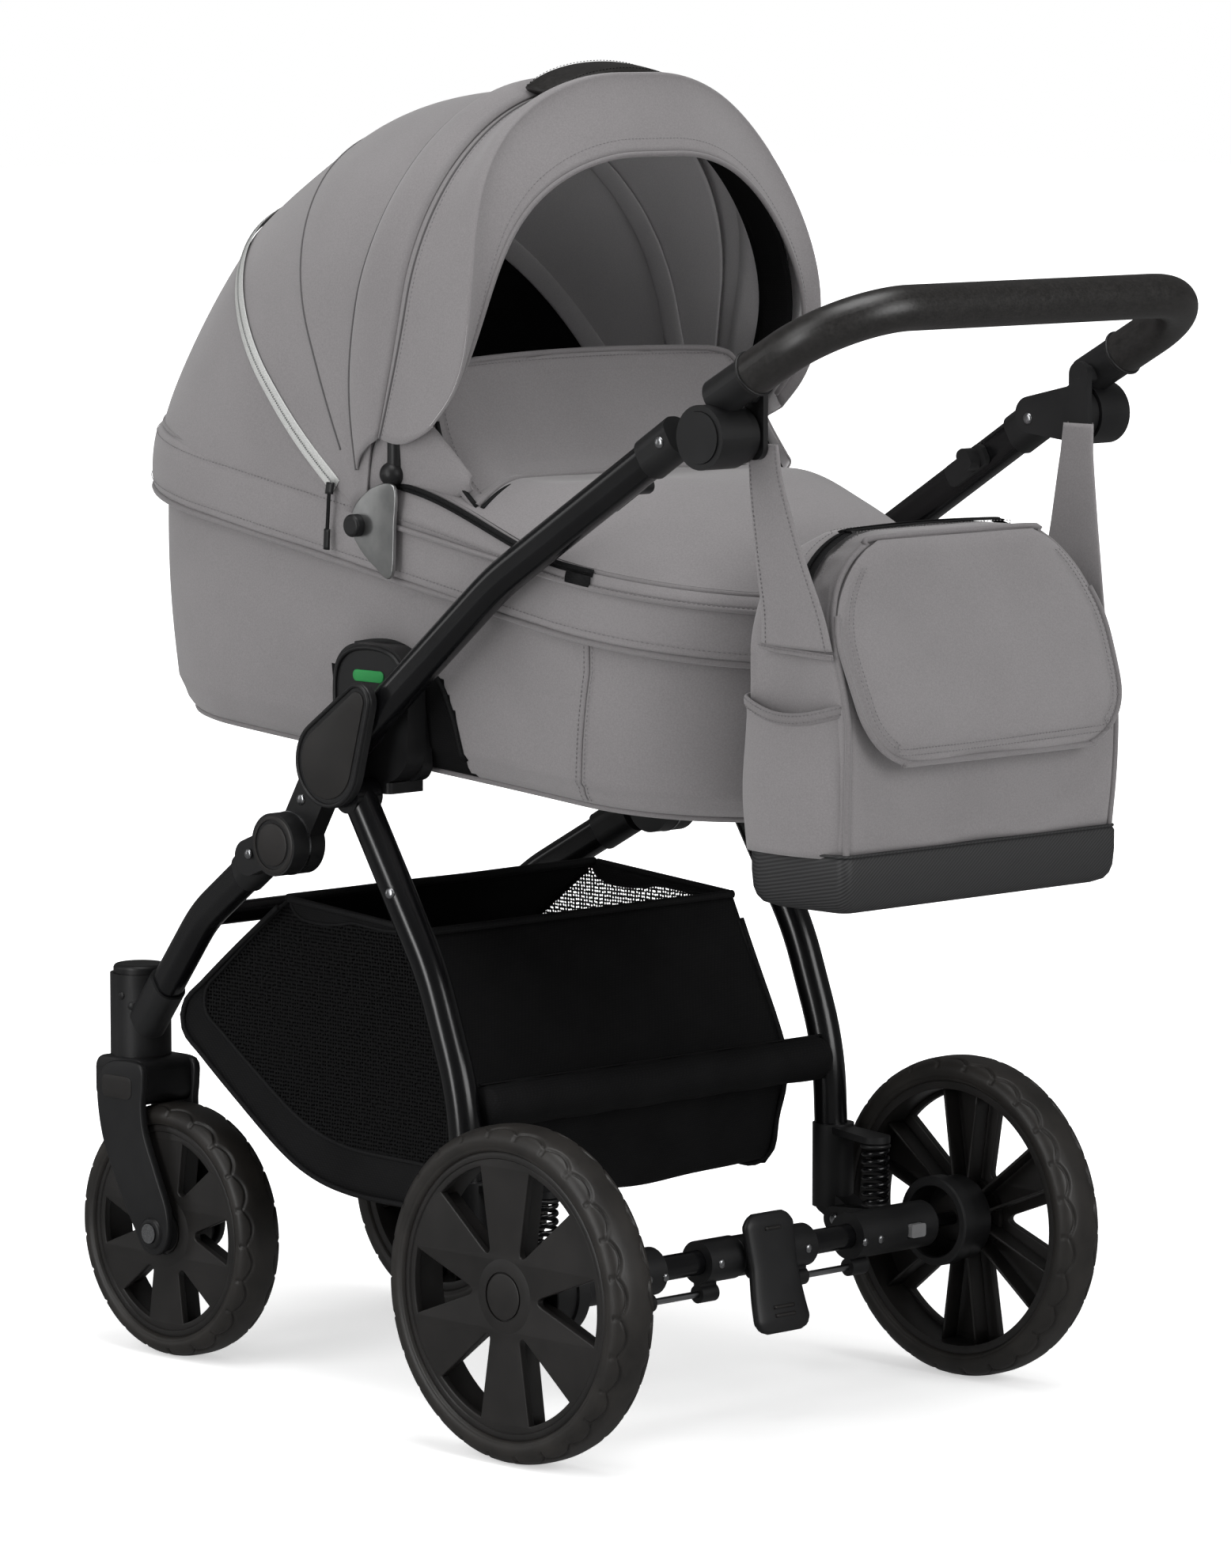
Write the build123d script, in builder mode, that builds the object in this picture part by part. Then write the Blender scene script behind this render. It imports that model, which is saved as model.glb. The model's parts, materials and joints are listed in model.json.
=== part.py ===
"""Baby stroller: folding chassis on four wheels, carrycot with folding hood, and a bag on the handle.

Millimetres. +Z is up, the floor is Z = 0, the stroller travels along -Y and its left side is +X.
The origin lies on the floor under the middle of the overall box.
"""
import os
from math import atan2, cos, degrees, hypot, radians, sin, tan

from build123d import *

# Clearances
fit_gap = 0.15          # between pieces of one body that seat in each other
run_gap = 0.05          # radial, pins and shafts that turn
move_gap = 0.4          # faces of bodies that move past each other
proud = 1.0             # how far a cutting shape runs past the face that it cuts

# Wheels
rear_wheel_r = 145.0
rear_tyre_height = 23.0
rear_rim_r = rear_wheel_r - rear_tyre_height
rear_track = 555.0
rear_axle_y = 168.0
front_wheel_r = 116.3
front_tyre_height = 20.3
front_rim_r = front_wheel_r - front_tyre_height
front_track = 338.0
front_axle_y = -397.0
tyre_width = 48.0
rim_width = 34.0
rim_wall = 6.0
spoke_count = 6
spoke_thickness = 8.0
spoke_set_back = 6.0    # from the rim's outer edge to the spokes' outer face
spoke_hub_width = 22.0
spoke_rim_width = 46.0
hub_r = 21.0
hub_width = 40.0
drum_r = 38.0
drum_wall = 6.0
drum_reach = 29.0       # how far the brake drum stands inboard of the rear rim
stub_r = 6.0
bolt_r = 5.0
bolt_head_r = 9.0
bolt_head_height = 4.0

# Chassis tubes, all in two upright planes
tube_x = 226.0
tube_width = 25.0
tube_height = 32.0
tube_corner = 11.0
tube_wall = 1.8
knuckle_y = -176.0
knuckle_z = 496.0
knuckle_r = 28.0
knuckle_in = 213.0      # X of the knuckle's inner face
knuckle_split = 231.0   # X where its two halves meet
knuckle_out = 250.0     # X of its outer face
main_low_y = -140.0
main_low_z = 556.5
main_bend_y = 88.0
main_bend_z = 743.0
main_end_y = 305.0
main_end_z = 876.0
main_bend_r = 320.0
sleeve_wall = 2.6
sleeve_length = 38.0
front_top_y = -214.0
front_top_z = 481.0
front_mid_y = -322.0
front_mid_z = 415.0
front_low_y = -416.0
front_low_z = 318.0
front_low_x = 183.0
front_bend_r = 190.0
cross_tube_r = 10.0

# Rear legs
leg_r = 15.0
leg_pivot_y = -90.0
leg_pivot_z = 545.0
leg_knee_y = 5.0
leg_knee_z = 395.0
leg_shin_y = 44.0
leg_shin_z = 290.0
leg_foot_y = 50.0
leg_foot_z = 152.0
leg_bend_r = 260.0
leg_pin_r = 5.0
roll_r = 20.0
roll_wall = 4.0
roll_y = 47.0
roll_z = 283.0

# Hub covers and carrycot receivers
cover_in = 241.6
cover_out = 250.0
cover_top_y = -66.0
cover_top_z = 630.0
cover_top_r = 17.0
cover_low_y = -105.0
cover_low_z = 574.0
cover_low_r = 40.0
cover_edge = 3.0
pad_height = 24.0
pad_length = 34.0
receiver_in = 189.0
receiver_out = 210.0
receiver_y = -92.0
receiver_width = 96.0
receiver_low_z = 556.0
receiver_top_z = 676.0
ledge_reach = 22.0
ledge_height = 10.0

# Rear axle, suspension and brake
axle_r = 11.0
housing_r = 21.0
housing_in = 122.0
housing_out = 218.0
arm_in = 199.0
arm_out = 213.0
arm_height = 24.0
swing_y = 76.0
swing_z = 139.0
swing_pin_r = 5.0
ear_r = 12.0
ear_out = 236.0
foot_r = 19.0
foot_height = 76.0
foot_floor = 6.0
spring_y = 122.0
spring_x = 206.0
spring_r = 13.5
spring_wall = 4.0
spring_top_z = 214.0
spring_seat_height = 6.0
spring_turns = 7
spring_groove = 2.0
collar_r = 19.0
collar_in = 25.0
collar_out = 66.0
pedal_half_width = 24.0
pedal_boss_r = 18.0
pedal_top_z = 186.0
pedal_low_z = 76.0
pedal_thickness = 12.0
pedal_top_y = 184.0
pedal_mid_y = 192.0
pedal_mid_z = 132.0
pedal_low_y = 206.0
rod_r = 3.0
rod_drop = 28.0
rod_lug_r = 8.0
rod_lug_length = 20.0
rod_engage = 13.0
button_width = 18.0
button_height = 12.0
button_x = 188.0
button_proud = 4.0
button_depth = 4.0
button_travel = 3.0

# Front sockets and forks
fork_trail = 54.0
socket_r = 28.0
socket_low_z = 270.0
socket_top_z = 348.0
swivel_cap_r = 25.0
swivel_cap_height = 8.0
stem_r = 9.0
stem_length = 64.0
crown_height = 32.0
crown_length = 54.0
blade_thickness = 8.0
blade_gap = 3.5
blade_top_width = 44.0
blade_hub_r = 17.0

# Handle
handle_y = 354.0        # pivot axis
handle_z = 879.0
handle_drum_r = 27.0
handle_drum_in = 214.0
handle_drum_out = 250.0
grip_start_y = 391.0
grip_start_z = 931.0
grip_back_y = 494.0
grip_back_z = 987.0
grip_r = 19.0
handle_tube_r = 13.0
handle_tube_wall = 1.8
handle_corner_r = 78.0
handle_end_r = 17.5
handle_end_back = 44.0
handle_seat = 30.0
handle_pin_r = 6.0
handle_pin_back = 12.0
press_r = 21.5
press_depth = 10.0
press_travel = 3.0
press_proud = 1.3
ear_plate_in = 203.0
ear_plate_r = 24.0
trigger_y = 226.0
trigger_length = 50.0
trigger_height = 20.0
trigger_base = 6.0
trigger_tab = 13.0
trigger_tab_length = 14.0
trigger_corner = 6.0

# Bag and its clips
clip_y = 369.0
clip_z = 914.0
clip_pin_r = 4.0
clip_in = 196.0
clip_out = 201.5
clip_width = 22.0
clip_drop = 44.0
clip_boss_r = 8.0
bag_half_width = 160.0
bag_clear = 16.0        # from the carrycot's foot end to the bag
bag_depth = 118.0
bag_low_z = 482.0
bag_top_z = 792.0
bag_base_height = 46.0
bag_corner = 38.0
bag_top_corner = 78.0
bag_wall = 4.0
flap_thickness = 7.0
flap_low_z = 606.0
flap_half_width = 150.0
flap_corner = 62.0
flap_top_z = 776.0
zip_width = 30.0
zip_half_length = 110.0
pocket_length = 104.0
pocket_top_z = 648.0
pocket_swell = 14.0     # how far a side pocket stands out
pocket_taper = 10.0
pocket_corner = 14.0
strap_width = 40.0
strap_thickness = 4.0
strap_y = 378.0
strap_low_z = 704.0
strap_tail = 44.0

# Basket
basket_half_width = 190.0
basket_wall = 3.0
basket_front_top = (-222.0, 437.0)
basket_front_low = (-372.0, 322.0)
basket_floor_front = (-200.0, 192.0)
basket_floor_y = -128.0
basket_floor_z = 178.0
basket_rear_low = (2.0, 178.0)
basket_rear_top = (-44.0, 424.0)

# Carrycot and hood
cot_y = -100.0
cot_half_width = 203.0
cot_length = 812.0
cot_corner = 182.0
rim_z = 745.0           # underside of the rim band at cot_y
rim_tilt = 9.4
rim_height = 52.0
tub_inset = 12.0
floor_z = 566.0
floor_tilt = 4.5
floor_inset = 28.0
floor_corner = 150.0
tub_wall = 8.0
adapter_width = 88.0
adapter_in = 150.0
adapter_out = 188.5
adapter_top_z = 694.0
mattress_thickness = 30.0
mattress_gap = 14.0
apron_edge_y = -40.0
apron_rise = 60.0
apron_taper = 55.0
apron_wall = 5.0
wind_flap_half_width = 186.0
wind_flap_foot_y = 46.0
wind_flap_lift = 10.0   # of its lower edge above the rim band
wind_flap_lean = 26.0   # from upright, towards the head end
wind_flap_thickness = 14.0
wind_flap_top_z = 930.0
wind_flap_corner = 60.0
hood_z = 780.0
hood_r = 398.0
hood_mid_r = 384.0
hood_half_width = 213.0
hood_flat = 19.0        # half the flat top between the hood's rounded corners
hood_shell = 2.6
hood_step = 3.4
hood_front_from = 60.0
hood_front_to = 99.0
hood_mid_to = 133.0
hood_back_to = 165.0
hood_lap = 2.0
hood_pin_r = 8.0
plate_thickness = 4.0
plate_r = 26.0
plate_drop = 46.0
plate_low_r = 14.0
knob_r = 10.0
knob_height = 9.0
hood_hub_ring_r = 20.0
carry_half_length = 78.0
carry_width = 40.0
carry_thickness = 12.0

# Places worked out from the sizes above
rear_wheel_x = rear_track / 2
front_wheel_x = front_track / 2
swivel_y = front_axle_y - fork_trail
tube_slope = degrees(atan2(main_end_z - main_bend_z, main_end_y - main_bend_y))
low_slope = degrees(atan2(main_bend_z - main_low_z, main_bend_y - main_low_y))
tube_in = tube_x - tube_width / 2
tube_out = tube_x + tube_width / 2
sides = (("left", 1), ("right", -1))


def save(builder, name):
    """Label a finished piece and write it to its own file."""
    builder.part.label = name
    export_step(builder.part, f"parts/{name}.step")


def yz(x):
    """The upright plane at X = x, with its own axes along Y and Z."""
    return Plane.YZ.offset(x)


def oval(grow=0.0, mode=Mode.ADD):
    """The outline of the flat-oval chassis tube, made larger all round by grow."""
    RectangleRounded(tube_width + 2 * grow, tube_height + 2 * grow, tube_corner + grow, mode=mode)


def along(y, z, slope, step):
    """The point a step further along a line of the given slope in the upright plane."""
    return y + step * cos(radians(slope)), z + step * sin(radians(slope))


def cross_plane(x, y, z, slope):
    """The plane square to a line of that slope, through the point."""
    return Plane(origin=(x, y, z), x_dir=(1, 0, 0), z_dir=(0, cos(radians(slope)), sin(radians(slope))))


def bar(y1, z1, y2, z2, height):
    """A bar with round ends between two points of an upright sketch."""
    with Locations(((y1 + y2) / 2, (z1 + z2) / 2)):
        SlotCenterToCenter(hypot(y2 - y1, z2 - z1), height, rotation=degrees(atan2(z2 - z1, y2 - y1)))


def tapered(y1, z1, r1, y2, z2, r2):
    """The outline that wraps two circles of an upright sketch."""
    with Locations((y1, z1)):
        Circle(r1)
    with Locations((y2, z2)):
        Circle(r2)
    make_hull()


def pin(x1, x2, y, z, r, mode=Mode.ADD):
    """A round disc, pin or bore along X, from x1 to x2."""
    with BuildSketch(yz(x1)) as face:
        with Locations((y, z)):
            Circle(r)
    extrude(face.sketch, amount=x2 - x1, mode=mode)


def ring(x1, x2, y, z, r_out, r_in):
    """A round ring along X, from x1 to x2."""
    with BuildSketch(yz(x1)) as face:
        with Locations((y, z)):
            Circle(r_out)
            Circle(r_in, mode=Mode.SUBTRACT)
    extrude(face.sketch, amount=x2 - x1)


os.makedirs("parts", exist_ok=True)

# Main tubes: straight from the knuckle to a gentle bend, then straight to the handle
with BuildPart() as main_tubes:
    with BuildLine(yz(tube_x)) as main_path:
        FilletPolyline(
            (main_low_y, main_low_z),
            (main_bend_y, main_bend_z),
            (main_end_y, main_end_z),
            radius=main_bend_r,
        )
    with BuildSketch(cross_plane(tube_x, main_low_y, main_low_z, low_slope)):
        oval()
        oval(-tube_wall, mode=Mode.SUBTRACT)
    sweep(path=main_path.line)
    mirror(about=Plane.YZ)
save(main_tubes, "main_tubes")

# Upper knuckle halves: a sleeve on the main tube's lower end and the inner disc of the hinge
half_gap = move_gap / 2
with BuildPart() as upper_knuckles:
    with BuildSketch(yz(knuckle_in)):
        bar(knuckle_y, knuckle_z, main_low_y, main_low_z, tube_height + 2 * sleeve_wall)
    extrude(amount=knuckle_split - half_gap - knuckle_in)
    pin(knuckle_in, knuckle_split - half_gap, knuckle_y, knuckle_z, knuckle_r)
    with BuildSketch(cross_plane(tube_x, *along(main_low_y, main_low_z, low_slope, -foot_floor), low_slope)):
        oval(sleeve_wall)
    extrude(amount=sleeve_length)
    with BuildSketch(cross_plane(tube_x, main_low_y, main_low_z, low_slope)):
        oval(fit_gap)
    extrude(amount=sleeve_length, mode=Mode.SUBTRACT)
    knuckle_room = knuckle_r + move_gap
    pin(knuckle_split - half_gap, knuckle_out, knuckle_y, knuckle_z, knuckle_room, Mode.SUBTRACT)
    mirror(about=Plane.YZ)
save(upper_knuckles, "upper_knuckles")

# Hub covers: kidney-shaped plates outside the main tubes, with the pins that the rear legs fold on
pad_y, pad_z = along(main_low_y, main_low_z, low_slope, sleeve_length + pad_length)
with BuildPart() as hub_covers:
    with BuildSketch(yz(cover_in)):
        tapered(cover_top_y, cover_top_z, cover_top_r, cover_low_y, cover_low_z, cover_low_r)
    extrude(amount=cover_out - cover_in)
    fillet(hub_covers.faces().sort_by(Axis.X)[-1].edges(), cover_edge)
    with BuildSketch(yz(tube_out + fit_gap)):
        bar(*along(pad_y, pad_z, low_slope, -pad_length / 2), pad_y, pad_z, pad_height)
    extrude(amount=cover_in - tube_out)
    pin(receiver_out + fit_gap, cover_in + proud, leg_pivot_y, leg_pivot_z, leg_pin_r)
    mirror(about=Plane.YZ)
save(hub_covers, "hub_covers")

# Carrycot receivers: upright blocks inside the main tubes, each with a ledge for the carrycot
receiver_height = receiver_top_z - receiver_low_z
with BuildPart() as receivers:
    with BuildSketch(yz(receiver_in)):
        with Locations((receiver_y, (receiver_low_z + receiver_top_z) / 2)):
            RectangleRounded(receiver_width, receiver_height, receiver_width / 3)
    extrude(amount=receiver_out - receiver_in)
    with BuildSketch(yz(receiver_out)):
        bar(*along(pad_y, pad_z, low_slope, -pad_length / 2), pad_y, pad_z, pad_height)
    extrude(amount=tube_in - fit_gap - receiver_out)
    with BuildSketch(Plane.XY.offset(receiver_low_z - ledge_height)):
        with Locations((receiver_out - (receiver_out - receiver_in + ledge_reach) / 2, receiver_y)):
            RectangleRounded(receiver_out - receiver_in + ledge_reach, receiver_width / 2, ledge_height / 2)
    extrude(amount=ledge_height)
    mirror(about=Plane.YZ)
save(receivers, "receivers")

# Pivot collars: a sleeve on the main tube's upper end, with the ear and the pin that carry the handle
with BuildPart() as pivot_collars:
    collar_start = along(main_end_y, main_end_z, tube_slope, -sleeve_length)
    with BuildSketch(cross_plane(tube_x, *collar_start, tube_slope)):
        oval(sleeve_wall)
    extrude(amount=sleeve_length + sleeve_wall)
    with BuildSketch(yz(ear_plate_in)):
        tapered(handle_y, handle_z, ear_plate_r, main_end_y, main_end_z, tube_height / 2)
    extrude(amount=handle_drum_in - move_gap - ear_plate_in)
    seat_start = along(main_end_y, main_end_z, tube_slope, -2 * sleeve_length)
    with BuildSketch(cross_plane(tube_x, *seat_start, tube_slope)):
        oval(fit_gap)
    extrude(amount=2 * sleeve_length + fit_gap, mode=Mode.SUBTRACT)
    pin(ear_plate_in, handle_drum_out - handle_pin_back, handle_y, handle_z, handle_pin_r)
    mirror(about=Plane.YZ)
save(pivot_collars, "pivot_collars")

# Fold triggers: sliding finger levers on the inner faces of the main tubes
trigger_z = main_bend_z + (trigger_y - main_bend_y) * (main_end_z - main_bend_z) / (main_end_y - main_bend_y)
tube_along = (0, cos(radians(tube_slope)), sin(radians(tube_slope)))
for side, sign in sides:
    trigger_plane = Plane(
        origin=(sign * (tube_in - move_gap), trigger_y, trigger_z),
        x_dir=tube_along,
        z_dir=(-sign, 0, 0),
    )
    with BuildPart() as fold_trigger:
        with BuildSketch(trigger_plane):
            RectangleRounded(trigger_length, trigger_height, trigger_corner)
        extrude(amount=trigger_base)
        with BuildSketch(trigger_plane):
            with Locations(((trigger_length - trigger_tab_length) / 2 - trigger_corner, 0)):
                RectangleRounded(trigger_tab_length, trigger_height, trigger_corner)
        extrude(amount=trigger_base + trigger_tab)
    save(fold_trigger, f"fold_trigger_{side}")

# Front tubes: from the knuckle forward and down, drawing in towards the wheels
front_dx = front_low_x - tube_x
front_dy = front_low_y - front_top_y
front_run = hypot(front_dx, front_dy)
front_plane = Plane(
    origin=(tube_x, front_top_y, front_top_z),
    x_dir=(front_dx, front_dy, 0),
    z_dir=(front_dy, -front_dx, 0),
)
front_mid_run = front_run * (front_mid_y - front_top_y) / front_dy
with BuildPart() as front_tubes:
    with BuildLine(front_plane) as front_path:
        FilletPolyline(
            (0, 0),
            (front_mid_run, front_mid_z - front_top_z),
            (front_run, front_low_z - front_top_z),
            radius=front_bend_r,
        )
    front_start = front_path.line @ 0
    front_out = front_path.line % 0
    front_end = front_path.line @ 1
    front_in = front_path.line % 1
    with BuildSketch(Plane(origin=front_start, x_dir=front_plane.z_dir, z_dir=front_out)):
        oval()
        oval(-tube_wall, mode=Mode.SUBTRACT)
    sweep(path=front_path.line)
    mirror(about=Plane.YZ)
save(front_tubes, "front_tubes")

# Lower knuckle halves: the outer disc of the hinge and a sleeve on the front tube's upper end
with BuildPart() as lower_knuckles:
    with BuildSketch(yz(knuckle_split + half_gap)):
        bar(knuckle_y, knuckle_z, front_top_y, front_top_z, tube_height)
    extrude(amount=knuckle_out - sleeve_wall - knuckle_split - half_gap)
    pin(knuckle_split + half_gap, knuckle_out, knuckle_y, knuckle_z, knuckle_r)
    sleeve_start = front_start - front_out * sleeve_wall
    with BuildSketch(Plane(origin=sleeve_start, x_dir=front_plane.z_dir, z_dir=front_out)):
        oval(sleeve_wall)
    extrude(amount=sleeve_length)
    with BuildSketch(Plane(origin=front_start, x_dir=front_plane.z_dir, z_dir=front_out)):
        oval(fit_gap)
    extrude(amount=sleeve_length, mode=Mode.SUBTRACT)
    pin(knuckle_in, knuckle_split + half_gap, knuckle_y, knuckle_z, knuckle_r + move_gap, Mode.SUBTRACT)
    mirror(about=Plane.YZ)
save(lower_knuckles, "lower_knuckles")

# Front cross tube, between the two front tubes at their bend
front_mid_x = tube_x + front_dx * front_mid_run / front_run
with BuildPart() as front_cross_tube:
    ring(0, front_mid_x, front_mid_y, front_mid_z, cross_tube_r, cross_tube_r - tube_wall)
    with BuildSketch(Plane(origin=front_start, x_dir=front_plane.z_dir, z_dir=front_out)):
        oval(fit_gap)
    sweep(path=front_path.line, mode=Mode.SUBTRACT)
    mirror(about=Plane.YZ)
save(front_cross_tube, "front_cross_tube")

# Fork sockets: upright barrels with a sleeve for the front tube's lower end and a bore for the fork's stem
socket_step = hypot(front_low_x - front_wheel_x, front_low_y - swivel_y)
with BuildPart() as fork_sockets:
    with BuildSketch(Plane.XY.offset(socket_low_z)):
        with Locations((front_wheel_x, swivel_y)):
            Circle(socket_r)
    extrude(amount=socket_top_z - socket_low_z)
    sleeve_start = front_end - front_in * sleeve_length
    with BuildSketch(Plane(origin=sleeve_start, x_dir=front_plane.z_dir, z_dir=front_in)):
        oval(sleeve_wall)
    extrude(amount=sleeve_length + socket_step / 2)
    tube_room = front_end - front_in * 2 * sleeve_length
    with BuildSketch(Plane(origin=tube_room, x_dir=front_plane.z_dir, z_dir=front_in)):
        oval(fit_gap)
    extrude(amount=2 * sleeve_length + fit_gap, mode=Mode.SUBTRACT)
    with BuildSketch(Plane.XY.offset(socket_low_z - proud)):
        with Locations((front_wheel_x, swivel_y)):
            Circle(stem_r + run_gap)
    extrude(amount=stem_length + 2 * proud, mode=Mode.SUBTRACT)
    mirror(about=Plane.YZ)
save(fork_sockets, "fork_sockets")

# Swivel caps on top of the sockets
with BuildPart() as swivel_caps:
    with BuildSketch(Plane.XY.offset(socket_top_z + fit_gap)):
        with Locations((front_wheel_x, swivel_y)):
            Circle(swivel_cap_r)
    extrude(amount=swivel_cap_height)
    fillet(swivel_caps.faces().sort_by(Axis.Z)[-1].edges(), swivel_cap_height / 2)
    mirror(about=Plane.YZ)
save(swivel_caps, "swivel_caps")

# Forks: a stem that turns in the socket, a crown, and a blade on each side of the wheel
crown_top_z = socket_low_z - move_gap
blade_in = tyre_width / 2 + blade_gap
blade_out = blade_in + blade_thickness
for side, sign in sides:
    fork_x = sign * front_wheel_x
    with BuildPart() as fork:
        with BuildSketch(Plane.XY.offset(crown_top_z - crown_height)):
            with Locations((fork_x, swivel_y)):
                RectangleRounded(2 * blade_out, crown_length, crown_length / 4)
        extrude(amount=crown_height)
        with BuildSketch(Plane.XY.offset(crown_top_z)):
            with Locations((fork_x, swivel_y)):
                Circle(stem_r)
        extrude(amount=stem_length)
        for blade in (1, -1):
            with BuildSketch(yz(fork_x + blade * blade_in)):
                tapered(
                    swivel_y,
                    crown_top_z - crown_height / 2,
                    blade_top_width / 2,
                    front_axle_y,
                    front_wheel_r,
                    blade_hub_r,
                )
            extrude(amount=blade * blade_thickness)
        pin(
            fork_x - blade_out - proud,
            fork_x + blade_out + proud,
            front_axle_y,
            front_wheel_r,
            bolt_r + fit_gap,
            Mode.SUBTRACT,
        )
        with BuildSketch(Plane.XY.offset(crown_top_z)):
            with Locations((fork_x, swivel_y)):
                Rectangle(2 * blade_out + proud, blade_top_width + crown_length)
                Circle(stem_r, mode=Mode.SUBTRACT)
        extrude(amount=blade_top_width, mode=Mode.SUBTRACT)
    save(fork, f"fork_{side}")

    with BuildPart() as front_axle:
        pin(fork_x - blade_out, fork_x + blade_out, front_axle_y, front_wheel_r, bolt_r)
        for head in (1, -1):
            head_x = fork_x + head * (blade_out + fit_gap)
            pin(head_x - head * proud, head_x, front_axle_y, front_wheel_r, bolt_r)
            pin(head_x, head_x + head * bolt_head_height, front_axle_y, front_wheel_r, bolt_head_r)
    save(front_axle, f"front_axle_{side}")


def build_rim(x, y, wheel_r, rim_r, bore_r, sign):
    """A six-spoke rim: barrel, hub and fan-shaped spokes set near the outer face."""
    barrel_in = rim_r - rim_wall
    face_x = x + sign * (rim_width / 2 - spoke_set_back)
    with BuildPart() as rim:
        ring(x - rim_width / 2, x + rim_width / 2, y, wheel_r, rim_r - fit_gap, barrel_in)
        with BuildSketch(yz(face_x)):
            with Locations((y, wheel_r)):
                with PolarLocations(0, spoke_count, start_angle=90):
                    Polygon(
                        (hub_r / 2, -spoke_hub_width / 2),
                        (barrel_in + rim_wall / 3, -spoke_rim_width * rim_r / rear_rim_r / 2),
                        (barrel_in + rim_wall / 3, spoke_rim_width * rim_r / rear_rim_r / 2),
                        (hub_r / 2, spoke_hub_width / 2),
                        align=None,
                    )
        extrude(amount=-sign * spoke_thickness)
        pin(x - hub_width / 2, x + hub_width / 2, y, wheel_r, hub_r)
        pin(x - hub_width, x + hub_width, y, wheel_r, bore_r, Mode.SUBTRACT)
    return rim


def build_tyre(x, y, wheel_r, rim_r):
    """A solid tyre with rounded shoulders on the rim."""
    with BuildPart() as tyre:
        ring(x - tyre_width / 2, x + tyre_width / 2, y, wheel_r, wheel_r, rim_r)
        shoulders = tyre.edges().filter_by(GeomType.CIRCLE).group_by(SortBy.RADIUS)[-1]
        fillet(shoulders, min(tyre_width * 0.36, (wheel_r - rim_r) * 0.85))
    return tyre


# Wheels: the rear rims also carry the brake drums
for side, sign in sides:
    front_x = sign * front_wheel_x
    front_rim = build_rim(front_x, front_axle_y, front_wheel_r, front_rim_r, bolt_r + run_gap, sign)
    save(front_rim, f"front_rim_{side}")
    save(build_tyre(front_x, front_axle_y, front_wheel_r, front_rim_r), f"front_tyre_{side}")

    rear_x = sign * rear_wheel_x
    rear_rim = build_rim(rear_x, rear_axle_y, rear_wheel_r, rear_rim_r, stub_r + run_gap, sign)
    drum_out = rear_x - sign * hub_width / 4
    drum_in = rear_x - sign * (rim_width / 2 + drum_reach)
    with BuildPart() as rear_rim_with_drum:
        add(rear_rim.part)
        ring(drum_out, drum_in, rear_axle_y, rear_wheel_r, drum_r, drum_r - drum_wall)
        ring(drum_out, drum_out - sign * drum_wall, rear_axle_y, rear_wheel_r, drum_r, stub_r + run_gap)
    save(rear_rim_with_drum, f"rear_rim_{side}")
    save(build_tyre(rear_x, rear_axle_y, rear_wheel_r, rear_rim_r), f"rear_tyre_{side}")

# Rear legs: bent tubes with an eye on the folding pin at the top
with BuildPart() as rear_legs:
    with BuildLine(yz(tube_x)) as leg_path:
        FilletPolyline(
            (leg_pivot_y, leg_pivot_z),
            (leg_knee_y, leg_knee_z),
            (leg_shin_y, leg_shin_z),
            (leg_foot_y, leg_foot_z),
            radius=leg_bend_r,
        )
    with BuildSketch(Plane(origin=leg_path.line @ 0, x_dir=(1, 0, 0), z_dir=leg_path.line % 0)):
        Circle(leg_r)
        Circle(leg_r - tube_wall, mode=Mode.SUBTRACT)
    sweep(path=leg_path.line)
    pin(tube_x - leg_r, tube_x + leg_r, leg_pivot_y, leg_pivot_z, leg_r)
    pin(receiver_out, cover_out, leg_pivot_y, leg_pivot_z, leg_pin_r + run_gap, Mode.SUBTRACT)
    mirror(about=Plane.YZ)
save(rear_legs, "rear_legs")

# Leg sockets: feet on the legs with the suspension ear, its pin and the upper seat of the spring
with BuildPart() as leg_sockets:
    with BuildSketch(Plane.XY.offset(leg_foot_z - foot_floor)):
        with Locations((tube_x, leg_foot_y)):
            Circle(foot_r)
    extrude(amount=foot_height)
    with BuildSketch(yz(arm_out + move_gap)):
        bar(leg_foot_y, leg_foot_z, swing_y, swing_z, 2 * ear_r)
    extrude(amount=ear_out - arm_out - move_gap)
    pin(arm_in - proud, ear_out, swing_y, swing_z, swing_pin_r)
    with BuildSketch(Plane.XY.offset(spring_top_z + fit_gap)):
        with Locations((spring_x, spring_y)):
            Circle(spring_r)
        with Locations((tube_x, leg_foot_y)):
            Circle(foot_r / 2)
        make_hull()
    extrude(amount=spring_seat_height)
    with BuildSketch(Plane(origin=leg_path.line @ 1, x_dir=(1, 0, 0), z_dir=-(leg_path.line % 1))):
        Circle(leg_r + fit_gap)
    extrude(amount=foot_height + spring_seat_height, mode=Mode.SUBTRACT)
    mirror(about=Plane.YZ)
save(leg_sockets, "leg_sockets")

# Roll bar: padded cross bar between the legs
with BuildPart() as roll_bar:
    ring(fit_gap + leg_r - tube_x, tube_x - leg_r - fit_gap, roll_y, roll_z, roll_r, roll_r - roll_wall)
save(roll_bar, "roll_bar")

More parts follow.
